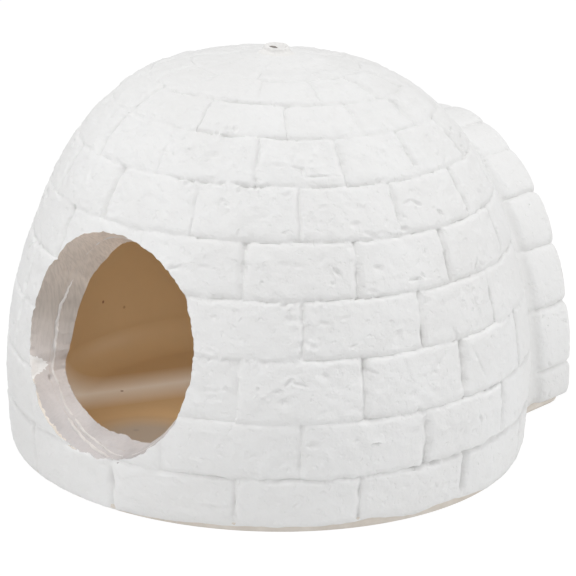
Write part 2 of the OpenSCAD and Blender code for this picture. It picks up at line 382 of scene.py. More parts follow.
# Marks that the cast has on its front: azimuth in degrees, height in mm, half length, half
# width and turn from level in mm and degrees, and how far they stand out or, below zero, go in
MARKS = [
    # lowest course
    (25, 5.0, 1.5, 1.2, 0, -0.25), (25.8, 5.4, 0.6, 0.5, 0, 0.3), (32, 5.7, 3.2, 0.4, 4, -0.25),
    (44, 7.7, 0.8, 0.6, 0, -0.3), (95, 3.8, 1.6, 1.1, 0, -0.22), (30, 6.6, 2.6, 0.5, 0, 0.2),
    # second course
    (50.6, 21.5, 1.1, 0.8, 0, -0.55), (63.4, 20.7, 1.3, 0.28, 3, -0.8), (33, 22.0, 0.6, 0.6, 0, -0.3),
    (34.5, 22.1, 0.5, 0.5, 0, -0.3), (27.4, 15.8, 1.2, 0.8, 0, -0.25), (46, 19.5, 0.6, 0.5, 0, -0.3),
    (28.5, 16.4, 0.8, 0.5, 0, 0.2), (83.5, 13.4, 1.2, 0.5, 20, -0.5), (84.5, 19.5, 0.7, 0.6, 0, -0.3),
    (90.7, 20.5, 1.2, 0.5, -50, -0.55), (94.3, 23.8, 0.9, 0.7, 0, -0.35), (73.9, 26.5, 1.4, 0.6, -50, -0.8),
    (58, 17.5, 1.0, 0.5, 10, -0.15), (39, 14.6, 1.4, 0.5, 0, -0.15), (43, 23.8, 1.2, 0.5, 0, 0.12),
    # third course
    (30.2, 33.1, 1.8, 0.45, 5, -0.35), (33, 33.6, 1.4, 0.4, -6, -0.3), (39.5, 34.3, 0.4, 0.4, 0, -0.5),
    (43.3, 33.8, 1.1, 0.4, 12, -0.55), (45.6, 35.6, 1.2, 0.5, 45, -0.7), (48, 35.2, 1.9, 0.42, -16, -0.6),
    (45, 33.0, 2.2, 0.7, 8, 0.25), (40.4, 32.7, 0.7, 0.6, 0, 0.35), (41.6, 31.8, 0.6, 0.5, 0, 0.3),
    (39.2, 32.9, 0.5, 0.5, 0, 0.25), (44.9, 31.3, 1.4, 0.6, 5, -0.25), (62.8, 37.2, 1.9, 0.4, -25, -0.45),
    (72.1, 30.6, 1.2, 0.7, 0, -0.28), (77.3, 36.2, 1.5, 0.35, 65, 0.3), (79.3, 36.6, 1.1, 0.6, 70, -0.3),
    (91.4, 33.4, 5.0, 0.35, -62, -0.35), (95.6, 26.6, 0.6, 0.5, 0, -0.6), (101.6, 31.1, 0.8, 0.6, 0, -0.3),
    (28, 29.5, 1.6, 0.5, 0, -0.15), (54, 29.0, 1.6, 0.5, 0, -0.12),
    # fourth course
    (46, 49.2, 1.3, 0.8, 0, -0.25), (46.3, 46.4, 1.0, 1.6, 0, -0.15), (53.2, 48.2, 1.5, 0.5, -12, -0.38),
    (57.6, 49.2, 1.3, 0.4, 4, -0.35), (55.5, 47.0, 1.6, 0.5, 0, 0.15), (49.4, 43.9, 0.8, 0.7, 0, -0.35),
    (50.8, 43.3, 0.7, 0.7, 0, -0.4), (50.2, 44.6, 0.6, 0.5, 0, 0.3), (49.9, 42.4, 0.6, 0.4, 0, 0.25),
    (59.2, 43.0, 0.9, 0.4, 15, -0.55), (60.8, 43.5, 0.7, 0.3, 0, 0.2), (71.7, 48.4, 0.8, 0.7, 0, -0.3),
    (69.6, 44.4, 1.0, 0.9, 30, -0.4), (75.6, 43.4, 0.8, 2.3, 5, -0.55), (77.6, 50.1, 1.4, 0.35, 20, -0.3),
    (85, 41.6, 0.5, 1.8, 18, -0.5), (93.4, 45.6, 0.35, 3.2, 20, -0.4), (99.6, 48.0, 0.35, 2.4, 4, -0.3),
    (44.6, 52.1, 0.9, 0.5, 0, -0.5), (45.6, 51.8, 0.8, 0.5, 20, 0.4), (47.9, 41.0, 0.8, 0.5, 0, -0.4),
    # fifth course
    (26.3, 59.1, 1.3, 0.6, 0, -0.4), (39.9, 61.1, 1.2, 1.0, 0, 0.22), (39.9, 61.1, 0.6, 0.5, 0, -0.2),
    (53.9, 61.8, 1.1, 1.0, 0, -0.35), (54.5, 61.2, 0.8, 0.6, 0, 0.2), (56.4, 58.9, 1.0, 0.6, -40, -0.65),
    (57.2, 58.2, 0.9, 0.4, -60, -0.4), (55.4, 56.3, 0.8, 0.35, -20, -0.4), (39.6, 56.8, 0.4, 0.4, 0, -0.4),
    (66.4, 59.0, 1.2, 0.6, -15, -0.35), (79.9, 60.4, 0.8, 0.9, 30, -0.35), (75.4, 55.4, 1.5, 0.4, 2, -0.65),
    (78, 55.8, 0.9, 0.45, -50, -0.6), (64.6, 54.2, 1.5, 0.4, -12, -0.35), (96.6, 54.9, 0.4, 1.5, -40, -0.6),
    (98.6, 54.2, 0.4, 1.0, 40, -0.4), (44.7, 60.6, 1.5, 0.6, 5, -0.2), (47.8, 60.2, 1.2, 0.5, 0, -0.18),
    (42.5, 58.2, 1.8, 0.7, 0, 0.1), (19.6, 58.3, 1.8, 0.35, 25, -0.55), (17.8, 58.8, 1.0, 0.6, 30, 0.35),
    (19.4, 57.3, 1.3, 0.5, 20, 0.3), (16.3, 59.5, 1.3, 0.6, 40, 0.25), (22, 60.9, 1.4, 0.5, 0, -0.18),
    # sixth course
    (28.6, 72.7, 0.6, 0.5, 0, -0.4), (29.9, 71.9, 0.6, 0.5, 0, -0.4), (27.6, 71.6, 0.5, 0.4, 0, -0.3),
    (33.8, 71.8, 1.3, 0.4, 0, -0.15), (39, 69.8, 1.5, 0.5, 0, -0.2), (54.2, 72.0, 1.4, 0.45, 0, -0.3),
    (60.9, 72.1, 0.7, 0.5, 0, -0.3), (62.2, 68.1, 1.1, 0.8, 0, -0.5), (65.8, 65.8, 2.2, 0.5, -18, -0.4),
    (68.3, 65.9, 1.0, 0.5, 15, -0.35), (78.5, 71.3, 1.6, 0.4, 12, -0.5), (81.6, 70.7, 1.4, 0.45, -35, -0.6),
    (79.5, 69.5, 2.4, 1.4, 0, 0.22), (76.3, 68.5, 0.5, 0.5, 0, -0.5), (75.6, 66.1, 1.0, 0.6, -10, -0.7),
    (88.5, 67.8, 1.2, 0.42, -45, -0.6), (100.1, 66.4, 0.9, 0.6, -30, -0.5), (81, 73.5, 0.5, 0.4, 0, -0.4),
    (83, 72.2, 0.5, 0.4, 0, -0.3), (-15.4, 71.0, 0.4, 2.0, 20, -0.25), (51.5, 67.6, 1.4, 0.6, 0, -0.15),
    # seventh course
    (23.2, 81.2, 1.5, 0.7, 0, -0.3), (25, 80.4, 0.9, 0.5, 0, 0.2), (42.7, 80.0, 1.7, 0.4, 0, -0.45),
    (48, 79.6, 1.4, 0.42, -12, -0.6), (49.8, 78.8, 0.45, 1.0, 0, -0.65), (54.6, 77.9, 3.4, 0.4, 0, -0.55),
    (51.5, 79.6, 2.6, 0.8, 0, 0.18), (72.8, 76.4, 1.4, 0.5, 15, -0.45), (66, 81.2, 1.4, 0.5, 0, -0.12),
    # eighth course and up
    (27.9, 86.2, 0.7, 0.6, 0, -0.6), (26.9, 88.7, 1.4, 0.6, 0, -0.25), (-18.9, 85.3, 0.9, 0.6, 0, -0.5),
    (36, 88.6, 1.3, 0.5, 0, -0.2), (10, 88.2, 1.4, 0.45, 0, -0.3), (60, 93.0, 1.2, 0.4, 0, -0.2),
]

# Crumbs of plaster left standing along some stretches of the joint lines: line, from and to azimuth, amount
CRUMBS = [(5, 14, 42, 1.0), (5, 46, 60, 0.4), (6, 18, 27, 0.9), (3, 38, 62, 0.45), (2, 20, 44, 0.5),
          (3, 26, 36, 0.5), (0, 52, 68, 0.5), (0, 70, 84, 0.5), (2, 100, 130, 0.5), (4, 150, 190, 0.7),
          (1, 200, 230, 0.6), (5, 235, 262, 0.8), (3, 290, 318, 0.6)]

# How the grooves blend where they meet, how many scattered pits and scars there are, and how rough the
# skin is by slope length from the ground in millimetres
GROOVE_BLEND = 2.2
PITS, SCARS = 900, 110
SKIN_GAIN = [(10, 1.1), (60, 1.15), (90, 1.65), (110, 1.2), (122, 0.75)]
# The shares of the marks' listed size and height that are used, and of a pit's depth that stands up round it
MARK_SIZE, MARK_HEIGHT, PIT_RIM = 1.3, 0.8, 0.12


def relief(phi, s, radius, points):
    """How far the cast surface stands off the smooth wall, in millimetres."""
    def rough(*parts):
        return layers(points, *parts)

    def mark(*where, **how):
        stamp(h, phi, s, radius, *where, **how)

    # lines between the courses
    lines = np.array([float(WALL.slope(z)) for z in COURSE_Z])
    sw = s + rough((0.30, 7.0, 1), (0.17, 2.4, 2))
    course = np.searchsorted(lines, sw.ravel(), side="right").reshape(s.shape)
    above = sw - np.concatenate([[-50.0], lines])[course]
    below = np.concatenate([lines, [lines[-1] + 50]])[course] - sw
    pressed = np.array([np.interp(np.degrees(phi[0]), PRESS_AT, row, period=360) for row in LINE_PRESS])
    uneven = np.clip(1 + 0.55 * noise(points, 8.0, 22), 0.45, 1.45)
    columns = np.arange(phi.shape[1])[None, :]
    press_low = np.concatenate([pressed[:1], pressed])[course, columns] * uneven
    press_high = np.concatenate([pressed, pressed[-1:]])[course, columns] * uneven
    low_groove = (1 - roll(above, 2.0 * (1 + 0.35 * noise(points, 5.0, 3)), 2.2)) * press_low
    high_groove = 0.65 * (1 - roll(below, 1.3 * (1 + 0.40 * noise(points, 4.0, 4)), 2.0)) * press_high
    press = np.where(above < below, press_low, press_high)
    crease = bell(np.minimum(above, below), 0.46) * press * np.clip(0.75 + 1.2 * noise(points, 4.0, 5), 0.1, 1.7)

    # upright joints, and each block's own tilt
    phi_deg = np.degrees(phi + rough((0.34, 5.0, 6), (0.18, 2.0, 7)) / np.maximum(radius, 4))
    along = np.clip(1 + 0.9 * noise(points, 4.5, 21), 0.3, 1.5)
    side, side_crease, lip, tilt, crumbly = (np.zeros_like(s) for _ in range(5))
    for k, joints in enumerate(joint_lists()):
        mask = course == k
        left, right, block, strength = nearest_joint(phi_deg[mask], joints)
        arc = np.radians(1) * radius[mask]
        near = np.minimum(left, right) * arc
        wide = (1.75 + 0.8 * noise(points[mask], 3.5, 24)) * np.clip(strength, 0.85, 1.3)
        side[mask] = (1 - roll(near, np.clip(wide, 0.8, 3.2), 2.0)) * strength * along[mask]
        side_crease[mask] = bell(near, 0.50) * strength * np.clip(along[mask] - 0.3, 0, 1.3)
        crumbly[mask] = bell(near, 1.3) * np.clip(1.3 * strength, 0.5, 1.3)
        lip[mask] = bell(left * arc - 1.6, 0.55) * strength
        share = left / (left + right) - 0.5
        up = np.clip(above[mask] / np.maximum(above[mask] + below[mask], 1e-6), 0, 1) - 0.5
        stands, leans, tips = (random_of(block, k, i) for i in (1, 2, 3))
        tilt[mask] = 0.10 * stands + 0.28 * share * leans + 0.24 * up * tips + 0.10 * (0.25 - share * share) * 4

    fade = np.clip(radius / 14, 0, 1)
    groove = sum(part ** GROOVE_BLEND for part in (low_groove, high_groove, side)) ** (1 / GROOVE_BLEND)
    h = 0.03 - 0.70 * np.clip(groove, 0, 1.6) - 0.28 * crease - 0.22 * side_crease
    h += 0.13 * lip * np.clip(noise(points, 6.0, 13) + 0.25, 0, 1) * (1 - np.clip(groove, 0, 1))
    h = (h + tilt * fade) * (0.45 + 0.55 * fade)
    # crumbs along the joints, more in some places
    crumbly = np.maximum(crumbly, bell(above, 1.1) * np.clip(press_low, 0, 1))
    h += crumbly * np.clip(0.25 + 1.2 * noise(points, 8.0, 28), 0, 1) * rough((0.34, 1.15, 29), (0.20, 2.2, 30))
    # the crown's cap rises a little, and its last ring is only a soft dip
    h += MOUND * eased(np.clip((MOUND_OUT - radius) / (MOUND_OUT - MOUND_IN), 0, 1))
    h -= CROWN_DIP * bell(sw - lines[-1] - 0.6, 1.1)

    # cast skin: broad unevenness, streaks along the courses, and rough patches
    streaks = np.stack([phi * radius / 2.8, s / 1.15, 0 * s], -1)
    skin = rough((0.14, 12.0, 8), (0.17, 5.0, 9), (0.14, 2.5, 10), (0.045, 1.3, 25))
    skin += 0.070 * noise(streaks, 1.0, 26)
    skin += np.clip(noise(points, 9.0, 11) + 0.02, 0, 1) * rough((0.32, 1.9, 12), (0.14, 1.0, 27))
    h += skin * (0.4 + 0.6 * fade) * np.interp(s, *zip(*SKIN_GAIN))

    # plaster crumbs along some lines, and the front's own marks
    for line, start, end, amount in CRUMBS:
        along_line, span = (np.degrees(phi) - start) % 360, (end - start) % 360
        inside = np.clip(np.minimum(along_line, span - along_line) / 2.5, 0, 1) * (along_line < span)
        near_line = bell(sw - lines[line] + 0.2, 1.0)
        h += amount * inside * near_line * rough((0.75, 0.9, 14 + line), (0.3, 1.8, 34 + line))
    for azimuth, z, a, b, turn, height in MARKS:
        mark((azimuth, float(WALL.slope(z))), (a * MARK_SIZE, b * MARK_SIZE), turn, MARK_HEIGHT * height, 1.3,
             rim=max(-height, 0.0) * PIT_RIM)

    # scattered small pits and bumps, fewer where the rings are narrower
    rng = np.random.default_rng(20)
    for _ in range(PITS):
        s_at, angle = rng.uniform(2.0, WALL.top - 3), rng.uniform(0, 360)
        keep = rng.uniform() < float(np.interp(s_at, WALL.s, WALL.r)) / DOME_R
        a, b = rng.uniform(0.5, 1.4), rng.uniform(0.4, 0.8)
        turn, sign, deep = rng.uniform(-60, 60), rng.uniform(), rng.uniform(0.08, 0.28)
        if keep:
            mark((angle, s_at), (a, b), turn, -deep if sign < 0.65 else 0.7 * deep, 1.2, rim=PIT_RIM * deep)
    # longer scars on the sides that the front's marks don't reach
    for _ in range(SCARS):
        z_at, angle = rng.uniform(4, 88), rng.uniform(108, 330)
        a, b, turn = rng.uniform(1.2, 3.2), rng.uniform(0.35, 0.6), rng.uniform(-50, 50)
        mark((angle, float(WALL.slope(z_at))), (a, b), turn, -rng.uniform(0.25, 0.6), 1.2, rim=0.07)
    return h


def leaning(points):
    """The crown's slight lean, which grows from nothing at two thirds of the height."""
    share = eased(np.clip((points[..., 2] - 60) / 35, 0, 1))
    turn = math.radians(CAMERA_AZIMUTH)
    across = points[..., 0] * math.cos(turn) + points[..., 1] * math.sin(turn)
    moved = np.array(points)
    moved[..., 2] -= share * (CROWN_DROP + CROWN_LEAN * across)
    return moved


# How far the white's lower edge lies above the bare foot's top, in millimetres, by azimuth
WHITE_EDGE = [(-40, -1.35), (5, -1.3), (20, -0.8), (30, -0.35), (44, 0.0), (52, -0.2), (60, 0.2), (64, 0.9),
              (67, 0.3), (72, -0.4), (76, -0.3), (80, 0.2), (84, 0.2), (88, -0.1), (92, -0.6), (97, -1.3),
              (120, -1.2), (180, -0.5), (250, -0.5), (300, -1.2)]

# How far the white's skin lies under the smooth wall at its lower edge, in millimetres
LIP_TUCK = 0.30


def dome_facing():
    """The white layer of the dome, as one closed cast with its block relief."""
    phi = np.linspace(0, 2 * math.pi, DENSE_TURN, endpoint=False)[None, :]
    start = float(WALL.slope(FOOT_H + BOND))
    wander = layers(turned(phi[0], DOME_R, 0.0), (0.30, 7.0, 40), (0.22, 2.4, 41))
    ragged = np.clip(start + by_angle(phi[0], WHITE_EDGE) + wander, start - 1.35, start + 1.3)[None, :]
    s = ragged + np.linspace(0, 1, DENSE_RISE + 1)[:-1, None] * (WALL.top - ragged)
    phi = np.broadcast_to(phi, s.shape)
    r, z, nr, nz = WALL.at(s)
    base = turned(phi, r, z)
    out = np.stack([nr * np.sin(phi), -nr * np.cos(phi), nz], -1)
    edge = roll(s - ragged, 1.8, 2.0)
    h = relief(phi, s, r, base) * edge - LIP_TUCK * (1 - edge)
    outer = leaning(base + out * h[..., None])
    inside = Wall(FACING_T + 0.04)
    ri, zi, _, _ = inside.at(np.linspace(inside.top * 0.995, float(inside.slope(FOOT_H + BOND)), 48))
    inner = turned(phi[:1], ri[:, None], zi[:, None])
    inner[-1, :, 2] = outer[0, :, 2]
    return rings_solid("dome_facing_cast", np.concatenate([inner, outer]))


# ---------------------------------------------------------------- cutters

DOOR_TURN_RAD = math.radians(DOOR_TURN)
TILT_RAD = math.radians(DOOR_TILT)
DOOR_AXIS = np.array([math.sin(DOOR_TURN_RAD) * math.cos(TILT_RAD),
                      -math.cos(DOOR_TURN_RAD) * math.cos(TILT_RAD), math.sin(TILT_RAD)])
DOOR_SIDE = np.array([math.cos(DOOR_TURN_RAD), math.sin(DOOR_TURN_RAD), 0.0])
DOOR_UP = np.cross(DOOR_AXIS, DOOR_SIDE) * -1
DOOR_MID = np.array([DOOR_OFF * math.sin(DOOR_TURN_RAD), -DOOR_OFF * math.cos(DOOR_TURN_RAD), DOOR_Z])


def wall_depth(points):
    """How deep points lie under the smooth outer face of the dome, along its radius."""
    r = np.hypot(points[..., 0], points[..., 1])
    return WALL.radius(points[..., 2]) - r


# How far the knife strayed from the cone on the outer and the inner face of the wall, in millimetres,
# by angle round the door: 0 is the side of the longer wall, 90 the bottom, 180 the left and 270 the top
EDGE_OUT = [(0, 0.5), (15, 0.5), (30, 1.1), (45, 1.0), (60, 1.0), (75, 0.4), (90, -0.1), (105, -0.4),
            (120, -0.5), (135, -0.7), (150, -1.0), (165, -0.8), (180, -0.9), (195, -1.0), (210, -1.2),
            (222, -0.8), (235, -0.2), (250, -0.5), (268, -0.6), (285, -0.5), (300, -0.2), (314, 0.2),
            (325, 0.8), (340, 0.4)]
EDGE_IN = [(0, -0.5), (30, 0.2), (55, 1.6), (65, 2.3), (75, 1.0), (85, -0.4), (100, 0.0), (115, -0.2),
           (127, 0.6), (138, 1.3), (148, 1.6), (153, 0.4), (159, -2.3), (170, -4.3), (182, -5.0), (195, -5.2),
           (207, -4.8), (218, -3.8), (228, -3.3), (238, -2.5), (246, -1.0), (252, 0.0), (262, 0.5),
           (290, 0.0), (330, -0.6)]


def strayed(turn, depth):
    """How far the cut lies off the plain cone at an angle and a depth under the outer face."""
    share = np.clip(depth / CAVITY_INSET, -0.4, 1.3)
    return by_angle(turn, EDGE_OUT) * (1 - share) + by_angle(turn, EDGE_IN) * share


def door_point(turn, ahead, radius):
    """Points at an angle round the door's axis, a way along it and a distance from it."""
    return (DOOR_MID + ahead[..., None] * DOOR_AXIS + (radius * np.cos(turn))[..., None] * DOOR_SIDE
            + (radius * np.sin(turn))[..., None] * DOOR_UP)


def door_rim(turn):
    """Points on a plain circle as wide as the door, as places for noise."""
    return DOOR_D / 2 * np.stack([np.cos(turn), np.sin(turn), 0 * turn], -1)


# A chip out of the door's outer rim, the pit beside the seam's knot and one more dent: degrees round the
# door, then millimetres under the outer face, half length, half height and how deep
CUT_DENTS = [(152, 1.5, 3.0, 2.2, 0.7), (144.5, 5.0, 0.6, 0.5, 0.9), (214, 3.0, 0.4, 0.4, 0.4)]


def door_cutter():
    """The knife-cut way in: a cone that narrows inwards, with a torn edge on both faces of the wall."""
    turn = np.linspace(0, 2 * math.pi, 900, endpoint=False)
    along = np.concatenate([np.linspace(-34, -22, 5), np.linspace(-20, 9, 110), np.linspace(11, 26, 5)])
    t, d = np.meshgrid(turn, along)
    radius = DOOR_D / 2 + d * DOOR_FLARE
    depth = wall_depth(door_point(t, d, radius))
    rim = door_rim(t)

    def place(across, down):
        """Places for noise on the cut, stretched round it and along it."""
        return np.stack([rim[..., 0] * across, rim[..., 1] * across, d * down], -1)

    edge = place(1, 0.5)
    torn_out, torn_in = bell(np.clip(depth, 0, 20), 1.3), bell(np.clip(CAVITY_INSET - depth, 0, 20), 1.2)
    radius = radius + (strayed(t, depth) + 0.10 * noise(rim, 6.0, 50) + 0.14 * noise(rim, 3.0, 51))
    radius = radius + torn_out * (0.30 * noise(edge, 2.3, 52) + 0.2 * noise(edge, 0.9, 53) + 0.1)
    radius = radius + torn_in * (0.26 * noise(edge, 2.6, 54) + 0.2 * noise(edge, 1.0, 55))
    # strokes of the knife along the cut, stronger high up on the left, and lumps low down
    low = np.clip(np.sin(t) * 0.9 + 0.1, 0, 1)
    radius = (radius + 0.10 * noise(place(0.22, 2.6), 1.0, 56) * (1 - low)
              + (0.05 + 0.20 * low) * noise(place(1, 1), 2.4, 57)
              + (0.02 + 0.06 * low) * noise(place(1, 1), 0.8, 58))
    # the inner layer's cut stands a little further in than the outer layer's
    radius = radius - 0.15 / (1 + np.exp(-(depth - FACING_T) / 0.25))
    for at, down, wide, high, deep in CUT_DENTS:
        across = (np.degrees(t) - at) * math.radians(1) * DOOR_D / 2
        radius = radius + deep * np.exp(-(across / wide) ** 2 - ((depth - down) / high) ** 2)
    return rings_solid("door_cutter", door_point(t, d, radius))


def arch_ring(inset, y, count=240, floor=-4.0):
    """One outline of the porch's arch as a closed ring of points at a depth y."""
    half, high = PORCH_W / 2 - inset, PORCH_H - inset
    first = math.asin(max(floor, 0) / high)
    t = np.linspace(first, math.pi - first, count)
    x, z = half * np.cos(t), high * np.sin(t)
    if floor < 0:
        x = np.concatenate([[half], x, [-half]])
        z = np.concatenate([[floor], z, [floor]])
    return np.stack([x, np.full_like(x, y), z], -1)


def arch_cutter(name, inset, from_y, to_y, floor=-4.0):
    ys = np.linspace(from_y, to_y, 3)
    return rings_solid(name, [arch_ring(inset, y, floor=floor) for y in ys[::-1]])


def dome_cutter(inset):
    """The dome's body out to one inset, to cut out of the porch."""
    wall = Wall(inset)
    r, z, _, _ = wall.at(np.linspace(0, wall.top * 0.995, 120))
    rings = lathe(np.stack([r, z], -1), 240)[1]
    return rings_solid("dome_cutter", np.concatenate([rings[:1] - np.array([0, 0, 4.0]), rings]))


# ---------------------------------------------------------------- other solids

# Rows of points up the wall inside
CAVITY_ROWS = 90


def inner_shell():
    """The smooth tan layer, with the foot ring and the hollow curve down to the floor."""
    cavity, back = Wall(CAVITY_INSET), Wall(FACING_T + 0.06)
    r, z, _, _ = cavity.at(np.linspace(cavity.top * 0.995, float(cavity.slope(FLOOR_T + COVE_R)), CAVITY_ROWS))
    rows = list(zip(r, z))
    rows += [(FLOOR_R + COVE_R * math.sin(t), FLOOR_T + COVE_R * (1 - math.cos(t)))
             for t in np.radians(np.linspace(87, 0, 30))]
    foot_r = float(WALL.radius(FOOT_H)) - 0.38
    rows += [(FLOOR_R, 0.0), (foot_r - 0.6, 0.0), (foot_r - 0.15, 0.2), (foot_r - 0.02, 0.6), (foot_r, FOOT_H)]
    foot_top = len(rows) - 1
    r, z, _, _ = back.at(np.linspace(float(back.slope(FOOT_H)), back.top * 0.995, 60))
    phi, rings = lathe(rows + list(zip(r, z)), 480)
    # the foot's top follows the white's uneven lower edge
    rings[foot_top, :, 2] += np.clip(by_angle(phi, WHITE_EDGE) + 0.9, 0.0, 2.0)
    # the wall inside is softly uneven
    wall = rings[:CAVITY_ROWS]
    out = np.hypot(wall[..., 0], wall[..., 1])
    soft = noise(wall, 22.0, 60) * 0.18 + noise(wall, 7.0, 61) * 0.03
    soft = soft * ((out < 57) & (wall[..., 2] > FLOOR_T + 3))
    wall[..., :2] += wall[..., :2] / np.maximum(out, 1)[..., None] * soft[..., None]
    return rings_solid("inner_shell_cast", rings)


# Ridges of smeared plaster along the cut: angles round the door and depths as shares of the wall, and
# where the first one has its knot
SEAM_PATH = [(70, 0.25), (79, 0.32), (95, 0.52), (111, 0.60), (124, 0.62), (133, 0.68), (141, 0.70), (146, 0.66),
             (152, 0.62), (162, 0.54), (174, 0.50), (189, 0.475), (198, 0.50), (212, 0.54)]
SECOND_PATH = [(74, 0.10), (82, 0.20), (102, 0.40), (122, 0.50)]
REST_PATH = [(232, 0.52), (300, 0.50), (360, 0.51), (425, 0.30)]
KNOT_AT = 141.0
SEAM_STEPS = 260


def seam_ridge(name, path, high, wide, seed):
    """A smeared ridge along the door's cut, about so high and half so wide."""
    turn = np.radians(np.linspace(path[0][0], path[-1][0], SEAM_STEPS))
    rim = door_rim(turn)
    want = np.interp(np.degrees(turn), *zip(*path)) * CAVITY_INSET
    want = want + 0.30 * noise(rim, 4.0, seed) + 0.12 * noise(rim, 1.2, seed + 1)
    # distance along the door's axis to each depth, found by stepping in from outside
    ahead = np.linspace(8, -22, 900)
    spot = door_point(turn[:, None], ahead[None, :], DOOR_D / 2 + ahead[None, :] * DOOR_FLARE)
    line = ahead[np.argmax(wall_depth(spot) > want[:, None], axis=1)]
    steps = np.arange(SEAM_STEPS)
    ends = eased(np.clip(np.minimum(steps, steps[::-1]) / 40, 0.02, 1))
    knot = bell(np.degrees(turn) - KNOT_AT, 2.0)
    lumps = 0.8 + 0.8 * noise(rim, 3.0, seed + 2) + 0.5 * noise(rim, 1.0, seed + 3)
    tall = high * np.clip(lumps, 0.15, 2) * ends + 0.7 * high * knot
    broad = wide * np.clip(1 + 0.5 * noise(rim, 3.0, seed + 4), 0.5, 1.6) * (0.4 + 0.6 * ends) * (1 + 0.6 * knot)
    rings = []
    for b in np.radians(np.linspace(0, 360, 14, endpoint=False)):
        d = line + broad * math.cos(b)
        up = tall * math.sin(b) if math.sin(b) > 0 else 0.5 * math.sin(b)
        rings.append(door_point(turn, d, DOOR_D / 2 + d * DOOR_FLARE + strayed(turn, want) - 0.05 - up))
    return rings_solid(name, np.array(rings).transpose(1, 0, 2))


# How many scattered pits and bumps the porch has
PORCH_PITS = 150


